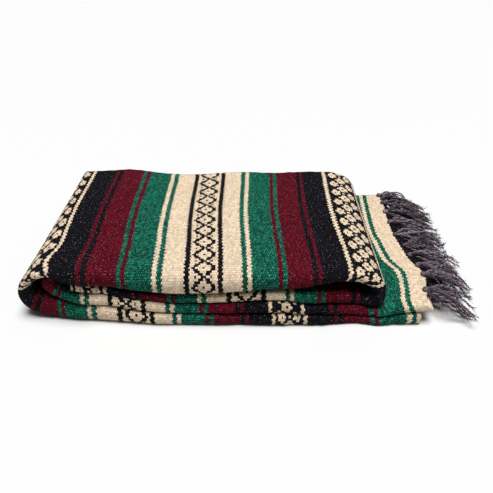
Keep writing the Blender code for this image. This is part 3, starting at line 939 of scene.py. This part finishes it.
# %% [markdown]
# ## The fringe
# The fringe is the blanket's own warp: grey mixed yarn, knotted close to the last pick so that the weft
# can't slip off. Each tassel is a handful of thick two-ply strands. They leave the knot as a tight
# bundle, swell, sag over the hem, cross their neighbours, and end in loose pointed fibres. All are
# tubes along paths, so one function turns any set of paths into tubes, and each row of tassels is one
# joined mesh.

# %% Rows of tassels and their knots
FRINGE_COLUMNS = ("name", "node", "base", "tip", "reach", "first", "last", "strands")
FRINGE = (  # heights of hem and tips, reach, the ends of the row, and strands in a tassel
    ("lowest_tassels", "fringe_lowest", 0.0030, 0.0030, 0.060, -0.150, 0.150, 12),
    ("second_tassels", "fringe_second", 0.0125, 0.0065, 0.058, -0.099, 0.144, 12),
    ("third_tassels", "fringe_third", 0.0215, 0.0110, 0.056, -0.099, 0.144, 12),
    ("top_tassels", "fringe_top", None, 0.0070, None, -0.152, 0.162, 15),
)
KNOTS = (  # top row: x and y of each knot, and how far its tips stray forward or back
    (0.2590, 0.1600, -0.014),
    (0.2640, 0.1480, 0.004),
    (0.2610, 0.1320, -0.010),
    (0.2600, 0.0990, 0.006),
    (0.2600, 0.0620, -0.008),
    (0.2610, 0.0200, 0.004),
    (0.2690, -0.0150, 0.012),
    (0.2715, -0.0450, -0.004),
    (0.2775, -0.0740, -0.012),
    (0.2795, -0.1000, -0.010),
    (0.2720, -0.1400, -0.010),
)
TASSEL_Y = (-0.135, -0.108, -0.076, -0.046, -0.014, 0.021, 0.059, 0.097, 0.130)
LOWER_KNOT = 0.003  # how far behind the hem a lower row is knotted
ROW_END = 0.008  # no knot lies nearer to the end of a row
STAGGER = (0.009, 500)  # how far a lower row is shifted, and radians per metre of its height
LEAN = (0.012, 37)  # how far its tassels lean, and radians per metre along the hem
ON_CLOTH = 0.0022  # height of a knot's middle over the cloth
print("tassels:", len(KNOTS), "on top,", len(TASSEL_Y), "in a lower row")

# %% Tubes along paths
UPRIGHT = (0.0, 1.0, 0.02)  # no path runs along this


def frames_along(paths):
    """Direction of each path, and two directions square to it."""
    ahead = np.gradient(paths, axis=1)
    ahead /= np.linalg.norm(ahead, axis=2, keepdims=True)
    aside = np.cross(ahead, UPRIGHT)
    aside /= np.linalg.norm(aside, axis=2, keepdims=True)
    return ahead, aside, np.cross(aside, ahead)


def path_lengths(paths):
    """Length of each path up to each of its points."""
    steps = np.linalg.norm(np.diff(paths, axis=1), axis=2)
    return np.concatenate([np.zeros((len(paths), 1)), np.cumsum(steps, axis=1)], axis=1)


def tubes(paths, radii, sides):
    """Points (tube, step, side, 3) of a tube round each path (tube, step, 3)."""
    _, aside, third = frames_along(paths)
    turn = 2 * math.pi * np.arange(sides) / sides
    ring = np.cos(turn)[:, None] * aside[:, :, None] + np.sin(turn)[:, None] * third[:, :, None]
    return paths[:, :, None] + radii[:, :, None, None] * ring


print("lower rows lean by up to", LEAN[0] / MM, "mm")

# %% One mesh from many tubes
TUBE_APART = 0.01  # from one tube's place in the UV map to the next one's
SIDE_APART = 0.0008
SET_APART = 100  # tubes from one set's place to the next one's


def joined_tubes(name, sets):
    """One mesh from several sets of tubes, with distance along and tube number as its UV map."""
    points, quads, caps, in_yarn, first = [], [], [], [], 0
    for number, tube in enumerate(sets):
        count, steps, sides = tube.shape[:3]
        index = first + np.arange(count * steps * sides).reshape(count, steps, sides)
        after = np.roll(index, -1, axis=2)
        around = np.stack([index[:, :-1], after[:, :-1], after[:, 1:], index[:, 1:]], -1)
        quads += around.reshape(-1, 4).tolist()
        caps += index[:, 0, ::-1].tolist() + index[:, -1].tolist()
        place = np.zeros((count, steps, sides, 2))
        place[..., 0] = path_lengths(tube.mean(axis=2))[:, :, None]
        tube_number = (SET_APART * number + np.arange(count))[:, None, None]
        place[..., 1] = tube_number * TUBE_APART + np.arange(sides) * SIDE_APART
        points.append(tube.reshape(-1, 3))
        in_yarn.append(place.reshape(-1, 2))
        first += count * steps * sides
    return cloth_object(name, np.concatenate(points), quads + caps, np.concatenate(in_yarn))


print("a set of tubes takes", SET_APART * TUBE_APART, "of the UV map")

# %% [markdown]
# ## One tassel
# The strands of a tassel don't stray one by one. They cling in a few clumps that bend together, and
# now and then a shorter strand lies across the others. A table holds how far each of their measures
# may vary, and a fixed seed makes every run draw the same tassels.

# %% How strands vary
CLUMP_COLUMNS = ("stray", "swing", "bends", "phase")
CLUMP_LEAST = (-0.034, 0.0030, 0.5, 0.0)
CLUMP_MOST = (0.030, 0.0120, 1.2, 1.0)
CLUMPS = 4  # of a tassel's strands, which stray together
CROSSING = 5  # every so many strands, one lies across the others
BACK_TASSELS = 0.110  # past this y, by the back selvedge, they stray inwards only
INWARDS = 0.7
VARY = {  # least and most of each draw, in metres, radians or as a share
    "turn": (-0.4, 0.4),
    "short_of_tip": (0.0, 0.026),
    "crossing_reach": (0.6, 0.9),
    "curl": (0.0, 1.0),
    "sag": (1.5, 2.6),
    "tip_lift": (0.0, 0.008),
    "stray": (-0.010, 0.010),
    "swing": (-0.0025, 0.0050),
    "phase": (-0.12, 0.12),
    "rise": (0.6, 1.5),
    "ply_turn": (0.0, 2 * math.pi),
    "thickness": (0.85, 1.12),
    "fibre": (0.003, 0.009),
    "knot_turn": (0, 6),
}
random_yarn = np.random.default_rng(7)


def vary(name, size=None):
    return random_yarn.uniform(*VARY[name], size)


print("draws that vary:", len(VARY))

# %% Paths of a tassel's strands
STRAND_POINTS = 44
STRAND_TURN = 2.4  # radians from one strand of a bundle to the next, so that they fill it evenly
BUNDLE = ((0, 0.07, 0.14, 0.22, 0.6, 1.0), (0.0016, 0.0022, 0.0044, 0.0095, 0.0130, 0.0140))
BUNDLE_FLAT = 0.7  # height of a bundle, over its width
PAST_TIP = 0.006
CROSS_STRAY, CROSS_SWING, CROSS_LIFT = -1.3, 1.5, 0.004  # of a strand that lies across
CURL_WIDE, CURL_BENDS = 0.004, 1.3  # small bends along the strand
DROP_OVER = 5  # the strands reach the hem's height in a fifth of their length
LEAN_GROWS = 1.3
WAVE_FADES, WAVE_RISE = 0.3, 0.45
FLOOR_GAP = 0.0024  # of a strand's middle
HEM_GAP, HEM_EDGE = 0.006, 0.004  # strands keep this near the hem's height, up to this far past it


def bundle_width(t):
    """How far a bundle's strands spread: tight in the knot, swollen past the hem, wide at the tips."""
    return np.interp(t, *BUNDLE)


def strand_middles(start, hem_x, hem_z, tip_x, tip_z, lean, strands):
    """Paths of a tassel's strands, from its knot to their tips."""
    t = np.linspace(0, 1, STRAND_POINTS)
    paths = []
    clumps = random_yarn.uniform(CLUMP_LEAST, CLUMP_MOST, (CLUMPS, len(CLUMP_COLUMNS)))
    if start[1] > BACK_TASSELS:
        clumps[:, 0] = -INWARDS * np.abs(clumps[:, 0])
    for number in range(strands):
        stray, swing, bends, phase = clumps[number % CLUMPS]
        turn = STRAND_TURN * number + vary("turn")
        out = math.sqrt((number + 0.5) / strands)
        reach = tip_x + PAST_TIP - start[0] - vary("short_of_tip")
        above = 0.0
        if number % CROSSING == CROSSING - 1:
            stray, swing, above = CROSS_STRAY * stray, CROSS_SWING * swing, CROSS_LIFT
            reach = reach * vary("crossing_reach")
        curl = CURL_WIDE * t * np.sin(2 * math.pi * (CURL_BENDS * t + vary("curl")))
        x = start[0] + reach * t + curl
        sag = np.clip((x - hem_x) / (start[0] + reach - hem_x), 0, 1) ** vary("sag")
        z = start[2] + (tip_z + vary("tip_lift") - hem_z) * sag
        z = z + (hem_z - start[2]) * np.clip(t * DROP_OVER, 0, 1)
        y = start[1] + (lean + stray + vary("stray")) * t**LEAN_GROWS
        wave = t * (1 - WAVE_FADES * t) * (swing + vary("swing"))
        y = y + wave * np.sin(2 * math.pi * (bends * t + phase + vary("phase")))
        z = z + WAVE_RISE * wave * np.sin(2 * math.pi * (vary("rise") * t + phase))
        width = bundle_width(t) * out
        y = y + width * math.cos(turn)
        z = z + width * BUNDLE_FLAT * math.sin(turn) + above * np.clip(3 * t, 0, 1)
        over_hem = np.clip((HEM_EDGE - (x - hem_x)) / HEM_EDGE, 0, 1)
        lowest = FLOOR_GAP + np.clip(hem_z - HEM_GAP, 0, None) * over_hem
        paths.append(np.column_stack([x, y, np.maximum(z, lowest)]))
    return np.array(paths)


print("bundle spreads from", bundle_width(0.0) / MM, "to", bundle_width(1.0) / MM, "mm")

# %% Two plies to a strand, and loose fibres at its end
PLY_YARN = 0.00100  # radius of each of a strand's two plies
PLY_TWIST = 0.00078  # how far a ply winds off the strand's middle
LAY = 0.0105  # length of one turn of the two plies
OPENS = (0.9, 0.86)  # how much further apart the plies are at the tip, and from where on
THINS = (0.30, 0.92)  # how much thinner, and from where on
FIBRES = 4  # at the end of each ply
FIBRE_POINTS = 5
FIBRE_RADII = (0.00062, 0.00012)
FIBRE_SPLAY = 0.55
SPLAY_SHARES = (0.6, 1.0, 0.5)  # of the splay, in x, y and z
FIBRE_BENDS = 1.5
FIBRE_START = 0.12  # how far inside the ply it starts, as a share of its length
FIBRE_FLOOR = 0.0009


def two_plies(middles):
    """Two plies wound round each other, which open a little at the tips."""
    _, aside, third = frames_along(middles)
    along = path_lengths(middles)
    start = vary("ply_turn", (len(middles), 1))
    t = np.linspace(0, 1, middles.shape[1])
    off = PLY_TWIST * (1 + OPENS[0] * smooth_step((t - OPENS[1]) / (1 - OPENS[1])))[None, :, None]
    found = []
    for half in (0.0, math.pi):
        turn = (2 * math.pi * along / LAY + start + half)[:, :, None]
        found.append(middles + off * (np.cos(turn) * aside + np.sin(turn) * third))
    plies = np.concatenate(found)
    uneven = vary("thickness", (len(plies), 1))
    radii = PLY_YARN * uneven * (1 - THINS[0] * smooth_step((t - THINS[1]) / (1 - THINS[1])))
    return plies, radii


def loose_fibres(plies):
    """Fine pointed fibres that splay from the end of each ply."""
    ends = plies[:, -1]
    ahead = plies[:, -1] - plies[:, -4]
    ahead /= np.linalg.norm(ahead, axis=1, keepdims=True)
    t = np.linspace(0, 1, FIBRE_POINTS)[None, :, None]
    sets = []
    for _ in range(FIBRES):
        length = vary("fibre", (len(plies), 1, 1))
        splay = random_yarn.normal(0, FIBRE_SPLAY, (len(plies), 1, 3)) * SPLAY_SHARES
        path = ends[:, None] + (ahead[:, None] * (t - FIBRE_START) + splay * t**FIBRE_BENDS) * length
        path[:, :, 2] = np.maximum(path[:, :, 2], FIBRE_FLOOR)
        sets.append(path)
    fibres = np.concatenate(sets)
    radii = np.linspace(*FIBRE_RADII, FIBRE_POINTS)[None] * np.ones((len(fibres), 1))
    return fibres, radii


print("a strand is about", 2 * (PLY_YARN + PLY_TWIST) / MM, "mm thick")

# %% Knots
KNOT_TURNS = 3.2
KNOT_POINTS = 36
KNOT_YARN = 0.00145  # radius
KNOT_WIDE = (0.0033, 0.0006)  # radius of the coil, and how much it varies
KNOT_VARIES = (5, 900)  # radians over the coil, and per metre of the knot's place
KNOT_LONG = (0.0010, 0.0078)  # where the coil starts, and its length
KNOT_WOBBLE = 0.0006
KNOT_FLAT = 0.9


def knot_wraps(start):
    """A coil of yarn pulled tight round the head of a bundle."""
    t = np.linspace(0, 1, KNOT_POINTS)
    turn = 2 * math.pi * KNOT_TURNS * t + vary("knot_turn")
    wide = KNOT_WIDE[0] + KNOT_WIDE[1] * np.sin(KNOT_VARIES[0] * t + start[0] * KNOT_VARIES[1])
    x = start[0] + KNOT_LONG[0] + KNOT_LONG[1] * t + KNOT_WOBBLE * np.cos(turn)
    y, z = start[1] + wide * np.cos(turn), start[2] + KNOT_FLAT * wide * np.sin(turn)
    return np.column_stack([x, y, z])


print("a knot has", KNOT_TURNS, "turns")

# %% Four rows of tassels
STRAND_SIDES = 5
FIBRE_SIDES = 3


def knots_of(value):
    """x, y and lean of each knot in a row."""
    if value["base"] is None:
        return KNOTS
    turn = value["base"] * STAGGER[1]
    shift = STAGGER[0] * math.sin(turn)
    inside = (value["first"] + ROW_END, value["last"] - ROW_END)
    return [
        (HEM_X - LOWER_KNOT, y + shift, LEAN[0] * math.sin(LEAN[1] * y + turn))
        for y in TASSEL_Y
        if inside[0] < y + shift < inside[1]
    ]


def row_of_tassels(value):
    on_panel = value["base"] is None
    middles, coils = [], []
    for x, y, lean in knots_of(value):
        hem_x = float(hem_line(y)) if on_panel else HEM_X
        hem_z = (float(bottom_layer(hem_x, y)) if on_panel else value["base"]) + ON_CLOTH
        start = (x, y, float(bottom_layer(x, y)) + ON_CLOTH if on_panel else hem_z)
        tips = float(read_table(HEM, HEM_COLUMNS, "tips", y + lean)) if on_panel else hem_x + value["reach"]
        middles.append(strand_middles(start, hem_x, hem_z, tips, value["tip"], lean, value["strands"]))
        coils.append(knot_wraps(start))
    plies, ply_radii = two_plies(np.concatenate(middles))
    fibres, fibre_radii = loose_fibres(plies)
    coils = np.array(coils)
    return joined_tubes(value["name"], [
        tubes(plies, ply_radii, STRAND_SIDES),
        tubes(fibres, fibre_radii, FIBRE_SIDES),
        tubes(coils, np.full(coils.shape[:2], KNOT_YARN), STRAND_SIDES),
    ])


fringe = []
for row in FRINGE:
    value = dict(zip(FRINGE_COLUMNS, row))
    piece = row_of_tassels(value)
    fringe.append((piece, value["node"]))
    print(piece.name, sum(len(p.vertices) - 2 for p in piece.data.polygons), "triangles")

# %% [markdown]
# ## Colours of the yarn
# The colours were matched to the photograph, as sRGB hex values. Blender's shaders work in
# linear light, so one function turns them. The same function serves every material here.

# %% Hex to linear


def linear(code):
    """An sRGB hex colour as linear RGBA."""
    channels = [int(code[i : i + 2], 16) / 255 for i in (1, 3, 5)]
    return (*(c / 12.92 if c <= 0.04045 else ((c + 0.055) / 1.055) ** 2.4 for c in channels), 1.0)


YARNS = {
    "cream": "#D6C1A6",
    "black": "#0E0D12",
    "green": "#115B48",
    "wine": "#540818",
}
print({name: [round(c, 3) for c in linear(code)[:3]] for name, code in YARNS.items()})

# %% [markdown]
# ## The weave
# A falsa is weft-faced: thick soft weft yarn covers the warp, so the surface is a brickwork of small
# oval floats, about 4 mm long across the blanket and 3 mm high. A stripe is a run of picks in one
# colour, so its edge steps in and out with the floats. The bands of diamonds are charted, a row
# of the chart for each column of floats, and in it one sign for one pick, from the band's middle to its
# edge. Both charts mirror in both directions, so five rows give a whole band.

# %% Table of the stripes
HALF_PICKS = 156  # in half a repeat
HALF_REPEAT = 242.3 * MM
PICK = HALF_REPEAT / HALF_PICKS
OPEN_MIDDLE = 0.4554  # distance along the cloth of the first open band's middle
STRIPES = (  # from the middle of an open band to the middle of a dense one: yarn, picks
    ("cream", 13.6),
    ("black", 5.0),
    ("cream", 18.9),
    ("green", 4.9),
    ("cream", 4.2),
    ("green", 24.4),
    ("wine", 4),
    ("green", 4.5),
    ("wine", 27),
    ("black", 4.5),
    ("wine", 4),
    ("black", 23.5),
    ("cream", 3.7),
    ("cream", 13.8),
)
print("half a repeat is", sum(picks for _, picks in STRIPES), "picks of", round(PICK / MM, 3), "mm")

# %% Charts of the diamonds
OPEN_CHART = (  # a row for each column, from between two diamonds to the middle of one
    "###....##.....",
    ".#####........",
    "...######.....",
    "......#####...",
    "#.......####..",
)
DENSE_CHART = (
    ".###...#...###",
    "####.......###",
    "..####...#####",
    "....##########",
    "#....#########",
)
CHART_HALF = 4  # columns from one mirror line to the next
OPEN_SHIFT = 3  # columns from a mirror line of the chart to the selvedge
DENSE_SHIFT = 5
print("charts:", len(OPEN_CHART), "and", len(DENSE_CHART), "columns")

# %% [markdown]
# ## Nodes by one function
# A material is a tree of nodes. One small function adds a node, sets it, and feeds its inputs in order
# or by name, so that each line below reads as one step of the pattern.

# %% Add a node


def add(tree, kind, *inputs, named=None, **settings):
    """Adds a node with its settings, and feeds its inputs from nodes, sockets or plain values."""
    node = tree.nodes.new("ShaderNode" + kind)
    for key, value in settings.items():
        setattr(node, key, value)
    for key, value in [*enumerate(inputs), *(named or {}).items()]:
        if isinstance(value, bpy.types.Node):
            value = value.outputs[0]
        if isinstance(value, bpy.types.NodeSocket):
            tree.links.new(value, node.inputs[key])
        else:
            node.inputs[key].default_value = value
    return node


def new_material(name):
    """An empty material, and the function that adds nodes to it."""
    material = bpy.data.materials.new(name)
    material.use_nodes = True
    material.node_tree.nodes.clear()
    return material, partial(add, material.node_tree)


print("a node takes its inputs in order or by name")

# %% Ramps with hard edges
MARK, BARE = (1, 1, 1, 1), (0, 0, 0, 1)


def set_ramp(node, stops):
    """Gives a colour ramp hard-edged stops, a list of (place, colour)."""
    ramp = node.color_ramp
    ramp.interpolation = "CONSTANT"
    while len(ramp.elements) > 1:
        ramp.elements.remove(ramp.elements[-1])
    ramp.elements[0].position, ramp.elements[0].color = stops[0]
    for place, colour in stops[1:]:
        ramp.elements.new(place).color = colour


def chart_stops(row, span):
    """Stops of a ramp over this many picks: white where the chart has black yarn, black elsewhere."""
    changes = [k for k in range(len(row)) if k == 0 or row[k] != row[k - 1]]
    stops = [(k / span, MARK if row[k] == "#" else BARE) for k in changes]
    return stops + [(len(row) / span, BARE)]


def stripe_stops():
    """Stops of the ramp that holds the stripes of half a repeat."""
    total, at, stops = sum(picks for _, picks in STRIPES), 0.0, []
    for yarn, picks in STRIPES:
        stops.append((at / total, linear(YARNS[yarn])))
        at += picks
    return stops


print("stops of the stripes:", len(stripe_stops()))

# %% [markdown]
# ## The material of the cloth
# The yarn is respun from cotton and acrylic clippings, and beaten in hard on a treadle loom. It is
# quite matt, because loose fibres scatter the light, and mottled, because no two lengths of it took the
# dye alike. So the roughness is near 1 and the gloss almost none. Each float is a small dome, and its
# colour is darkened towards the crevice round it, which is painted shade. Rare pale flecks of other fibre
# lie in it. The deeper the dye, the more the mottling and the painted crevice shade darken it, which the
# shade's power does.

# %% Sizes of the weave's pattern
FLOAT_LENGTH = 4.31 * MM
FLOAT_SLANT = 0.30  # of a float's height, because the yarn is twisted
DRIFT_SIZE = 22 * MM  # from one gentle wander of a pick to the next
DRIFT = 1.6 * MM  # how far a pick wanders
FIBRE_SIZE = 1.6 * MM  # clumps of fibre in the yarn, drawn as coarse as they need to show
FLECK_SIZE = 2.4 * MM  # between places where a pale fleck can lie
FLECK_FROM, FLECK_TO = 0.75, 0.86  # values of the noise over which a fleck shows
FLECK_SHARE = 0.33
FLECKS = ((0.0, "#8E8AA0"), (0.35, "#A98A96"), (0.6, "#6F928C"), (0.8, "#BDB5AE"))
STEP_DEPTH = PICK * 0.95  # how far a float of the next column lies ahead
STEP_CHANCE = 0.7  # and how much more by chance
FIRST_PICK = 0.0005  # no distance along the cloth is read below this
FIRST_STRIPE = 2 * HALF_REPEAT - OPEN_MIDDLE - PICK * 0.8  # where in a repeat the cloth starts
CHANCE_LAYER = 0.37  # which layer of the noise gives each float its chances
SAME_COLUMN = 0.1  # two whole numbers nearer than this are the same column
# The dome entry is painted shade: it darkens each float's colour towards the crevices round it.
MOTTLE_AND_CREVICE_SHADE = {"float": (0.32, 0.86), "fibre": (1.4, 0.32), "dome": (0.75, 0.68)}  # gain, and shade at none
DEPTH_OF_GREEN = 21.0
DEPTH_OF_PALE, DEPTH_OF_DARK = -2.3, 2.5
FIBRE_BUMP = 0.35
BUMP = {"Strength": 0.75, "Distance": 1.2 * MM}
MATT = {"Roughness": 0.95, "Specular IOR Level": 0.08}
print("a float is", FLOAT_LENGTH / MM, "by", round(2 * PICK / MM, 2), "mm")

# %% Brickwork of floats


def float_cells(put, along, across):
    """Which column and float a place is in, how far in it, and three random numbers for the float."""
    column_place = put("Math", across, FLOAT_LENGTH, operation="DIVIDE")
    column = put("Math", column_place, operation="FLOOR")
    odd = put("Math", column, 2.0, operation="FLOORED_MODULO")
    shift = put("Math", odd, 0.5, operation="MULTIPLY")
    float_place = put("Math", along, 0.5 / PICK, shift, operation="MULTIPLY_ADD")
    slant = put("Math", column_place, operation="FRACT")
    float_place = put("Math", slant, FLOAT_SLANT, float_place, operation="MULTIPLY_ADD")
    float_row = put("Math", float_place, operation="FLOOR")
    cell = put("CombineXYZ", column, float_row, CHANCE_LAYER)
    chance = put("TexWhiteNoise", named={"Vector": cell}, noise_dimensions="3D")
    chances = put("SeparateColor", chance.outputs["Color"]).outputs
    return column, odd, column_place, float_place, chances


def dome_of(put, column_place, float_place):
    """A small dome over each float, 0 in the crevices round it."""
    halves = [put("Math", place, 0.5, operation="PINGPONG") for place in (float_place, column_place)]
    roots = [put("Math", half, operation="SQRT") for half in halves]
    return put("Math", *roots, operation="MULTIPLY")


print("the floats step by", round(STEP_DEPTH / MM, 2), "mm")

# %% Stripes and diamonds


def black_marks(put, column, from_open):
    """1 where a chart has black yarn: a ramp for each column of a chart, shown where that column is."""
    marks = None
    from_dense = put("Math", HALF_REPEAT, from_open, operation="SUBTRACT")
    for chart, from_middle, shift in (
        (OPEN_CHART, from_open, OPEN_SHIFT),
        (DENSE_CHART, from_dense, DENSE_SHIFT),
    ):
        span = len(chart[0]) + 1
        picks_out = put("Math", from_middle, PICK, operation="DIVIDE")
        shifted = put("Math", column, shift, operation="ADD")
        mirrored = put("Math", shifted, CHART_HALF, operation="PINGPONG")
        for number, row in enumerate(chart):
            ramp = put("ValToRGB", put("Math", picks_out, span, operation="DIVIDE"))
            set_ramp(ramp, chart_stops(row, span))
            here = put("Math", mirrored, number, SAME_COLUMN, operation="COMPARE")
            mark = put("Math", here, ramp, operation="MULTIPLY")
            marks = mark if marks is None else put("Math", marks, mark, operation="MAXIMUM")
    return marks


def striped(put, along, column, odd, chances):
    """The dyed yarn at each place. Each float sits a little in or out, which steps a stripe's edge."""
    by_chance = put("Math", chances[0], STEP_CHANCE, operation="MULTIPLY")
    wobble = put("Math", odd, by_chance, operation="ADD")
    stepped = put("Math", wobble, STEP_DEPTH, along, operation="MULTIPLY_ADD")
    clamped = put("Math", stepped, FIRST_PICK, operation="MAXIMUM")
    in_repeat = put("Math", clamped, FIRST_STRIPE, operation="ADD")
    from_open = put("Math", in_repeat, HALF_REPEAT, operation="PINGPONG")
    stripes = put("ValToRGB", put("Math", from_open, HALF_REPEAT, operation="DIVIDE"))
    set_ramp(stripes, stripe_stops())
    black = {0: black_marks(put, column, from_open), 6: stripes, 7: linear(YARNS["black"])}
    return put("Mix", named=black, data_type="RGBA").outputs[2]


print("yarns:", sorted({yarn for yarn, _ in STRIPES}))

# %% Mottling, painted crevice shade and flecks


def mottle_and_crevice_shade(put, base, chances, fibre, dome):
    """The yarn float by float, mottled and darkened by painted shade in the crevices, the more so the deeper
    its dye is.
    """
    shade = 1.0
    # The random float tone and the fibre are the yarn's own mottling; the dome term is painted crevice
    # shade.
    for source, (gain, least) in zip((chances[1], fibre, dome), MOTTLE_AND_CREVICE_SHADE.values()):
        part = put("Math", source, gain, least, operation="MULTIPLY_ADD")
        shade = put("Math", shade, part, operation="MULTIPLY")
    red, green, _ = put("SeparateColor", base).outputs
    greener = put("Math", put("Math", green, red, operation="SUBTRACT"), 0.0, operation="MAXIMUM")
    depth = put("Math", green, DEPTH_OF_PALE, DEPTH_OF_DARK, operation="MULTIPLY_ADD")
    depth = put("Math", greener, DEPTH_OF_GREEN, depth, operation="MULTIPLY_ADD")
    shade = put("Math", shade, depth, operation="POWER")
    grey = put("CombineColor", shade, shade, shade)
    return put("Mix", named={0: 1.0, 6: base, 7: grey}, data_type="RGBA", blend_type="MULTIPLY").outputs[2]


def flecked(put, base, cloth, chances):
    """Rare pale fibres of another colour, spun in with the rest."""
    hue = put("ValToRGB", chances[2])
    set_ramp(hue, [(place, linear(code)) for place, code in FLECKS])
    where = {"Vector": cloth, "Scale": 1 / FLECK_SIZE, "Detail": 0.0}
    noise = put("TexNoise", named=where, noise_dimensions="2D")
    fleck = put("MapRange", noise, FLECK_FROM, FLECK_TO)
    share = put("Math", fleck, FLECK_SHARE, operation="MULTIPLY")
    return put("Mix", named={0: share, 6: base, 7: hue}, data_type="RGBA").outputs[2]


print("flecks show above", FLECK_FROM, "of the noise")

# %% Falsa weave of respun yarn


def falsa_weave():
    """Weft-faced handloom weave of thick spun yarn: matt, mottled, fuzzy, with stepped stripe edges and
    painted shade in the crevices between floats.
    """
    material, put = new_material("falsa_weave_spun_yarn")
    cloth = put("UVMap", uv_map="cloth")
    drift_at = {"Vector": cloth, "Scale": 1 / DRIFT_SIZE, "Detail": 1.0}
    drift = put("TexNoise", named=drift_at, noise_dimensions="2D")
    drifted = put("VectorMath", drift.outputs["Color"], (DRIFT, DRIFT, 0.0), cloth, operation="MULTIPLY_ADD")
    along, across, _ = put("SeparateXYZ", drifted).outputs
    column, odd, column_place, float_place, chances = float_cells(put, along, across)
    base = striped(put, along, column, odd, chances)
    dome = dome_of(put, column_place, float_place)
    fibre_at = {"Vector": cloth, "Scale": 1 / FIBRE_SIZE, "Detail": 3.0}
    fibre = put("TexNoise", named=fibre_at, noise_dimensions="2D")
    # The colour carries painted shade: each float darkens towards its crevices.
    colour = flecked(put, mottle_and_crevice_shade(put, base, chances, fibre, dome), cloth, chances)
    height = put("Math", fibre, FIBRE_BUMP, dome, operation="MULTIPLY_ADD")
    bump = put("Bump", named={**BUMP, "Height": height})
    shader = put("BsdfPrincipled", named={"Base Color": colour, "Normal": bump, **MATT})
    put("OutputMaterial", named={"Surface": shader})
    return material


weave = falsa_weave()
for piece in (outer_shell, upper_shell, hidden):
    piece.data.materials.append(weave)
print("weave material has", len(weave.node_tree.nodes), "nodes")

# %% [markdown]
# ## The yarn of the fringe
# The warp is grey yarn, respun from mixed fibre and left undyed. Two plies are twisted together, so
# the eye sees slanting streaks, lighter and darker, along each strand, and some strands paler than
# others. It is as matt as the cloth. The streaks follow the UV map of the tubes.

# %% Spun grey yarn
STREAK = 1 / 900  # length of a streak in metres, about 1.1 mm
STREAK_TURN = 2600.0  # how quickly they change round a ply
STREAK_SLANT = 2.2
FIBRE_TONE, STRAND_TONE = 0.65, 0.46  # shares of the streaks and of the strand's own tone
TONES = ((0.22, "#2F262E"), (0.5, "#53474F"), (0.92, "#A3959F"))
YARN_BUMP = {"Strength": 0.8, "Distance": 0.6 * MM}
YARN_MATT = {"Roughness": 0.95, "Specular IOR Level": 0.1}


def fringe_yarn():
    """Grey yarn respun from mixed fibre: matt, hairy, streaked lighter and darker along the ply."""
    material, put = new_material("fringe_yarn_spun_grey")
    along, around, _ = put("SeparateXYZ", put("UVMap", uv_map="cloth")).outputs
    ply = put("Math", put("Math", around, TUBE_APART, operation="DIVIDE"), operation="FLOOR")
    chance = put("TexWhiteNoise", named={"W": ply}, noise_dimensions="1D")
    slanted = put("Math", around, STREAK_SLANT, along, operation="MULTIPLY_ADD")
    grain = put(
        "CombineXYZ",
        put("Math", slanted, 1 / STREAK, operation="MULTIPLY"),
        put("Math", around, STREAK_TURN, operation="MULTIPLY"),
    )
    fibre = put("TexNoise", named={"Vector": grain, "Scale": 1.0, "Detail": 2.0}, noise_dimensions="2D")
    own = put("Math", chance, STRAND_TONE, operation="MULTIPLY")
    tone = put("ValToRGB", put("Math", fibre, FIBRE_TONE, own, operation="MULTIPLY_ADD"))
    ramp = tone.color_ramp
    for element, (place, code) in zip(ramp.elements, (TONES[0], TONES[-1])):
        element.position, element.color = place, linear(code)
    ramp.elements.new(TONES[1][0]).color = linear(TONES[1][1])
    bump = put("Bump", named={**YARN_BUMP, "Height": fibre})
    shader = put("BsdfPrincipled", named={"Base Color": tone, "Normal": bump, **YARN_MATT})
    put("OutputMaterial", named={"Surface": shader})
    return material


yarn = fringe_yarn()
for piece, _ in fringe:
    piece.data.materials.append(yarn)
print("fringe yarn material on", len(fringe), "pieces")

# %% [markdown]
# ## Floor and light
# The blanket lies on plain white studio paper. One large soft light from above, a little from the
# front and left, gives the soft shadows under the loops, and a faint even light fills them.

# %% Floor, light and background
PAPER = "#D1D1D1"
PAPER_ROUGH = 0.9
PAPER_HALF = 6  # metres, so that its edge is out of sight
FILL_STRENGTH = 0.10
LAMP_STRENGTH = 4.6
LAMP_ANGLE = 34  # degrees, which is how soft its shadows are
LAMP_AIM = (-0.06, 0.12, -1.0)

floor_mesh = bpy.data.meshes.new("floor")
floor_corners = [(PAPER_HALF * x, PAPER_HALF * y, 0) for x, y in ((-1, -1), (1, -1), (1, 1), (-1, 1))]
floor_mesh.from_pydata(floor_corners, [], [(0, 1, 2, 3)])
floor = bpy.data.objects.new("floor", floor_mesh)
collection.objects.link(floor)
paper, put = new_material("white_studio_paper")
paper_shader = put("BsdfPrincipled", named={"Base Color": linear(PAPER), "Roughness": PAPER_ROUGH})
put("OutputMaterial", named={"Surface": paper_shader})
floor_mesh.materials.append(paper)
world = bpy.data.worlds.new("studio")
bpy.context.scene.world = world
world.use_nodes = True
world.node_tree.nodes["Background"].inputs["Color"].default_value = linear("#FFFFFF")
world.node_tree.nodes["Background"].inputs["Strength"].default_value = FILL_STRENGTH
bpy.context.scene.view_settings.view_transform = "Standard"
lamp = bpy.data.objects.new("softbox", bpy.data.lights.new("softbox", "SUN"))
collection.objects.link(lamp)
lamp.data.angle = math.radians(LAMP_ANGLE)
lamp.data.energy = LAMP_STRENGTH
lamp.rotation_euler = Vector(LAMP_AIM).to_track_quat("-Z", "Y").to_euler()
print("lamp strength", LAMP_STRENGTH, "and fill", FILL_STRENGTH)

# %% [markdown]
# ## What each piece is
# Every piece rides on the one body, since nothing moves, and stands for the solid that it replaces.

# %% Ride and replace
for piece, node in ((outer_shell, "outer_cloth"), (upper_shell, "upper_cloth"), (hidden, "hidden_layers")):
    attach(piece, "root")
    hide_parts(node)
for piece, node in fringe:
    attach(piece, "root")
    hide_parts(node)
print("pieces of fringe:", len(fringe))
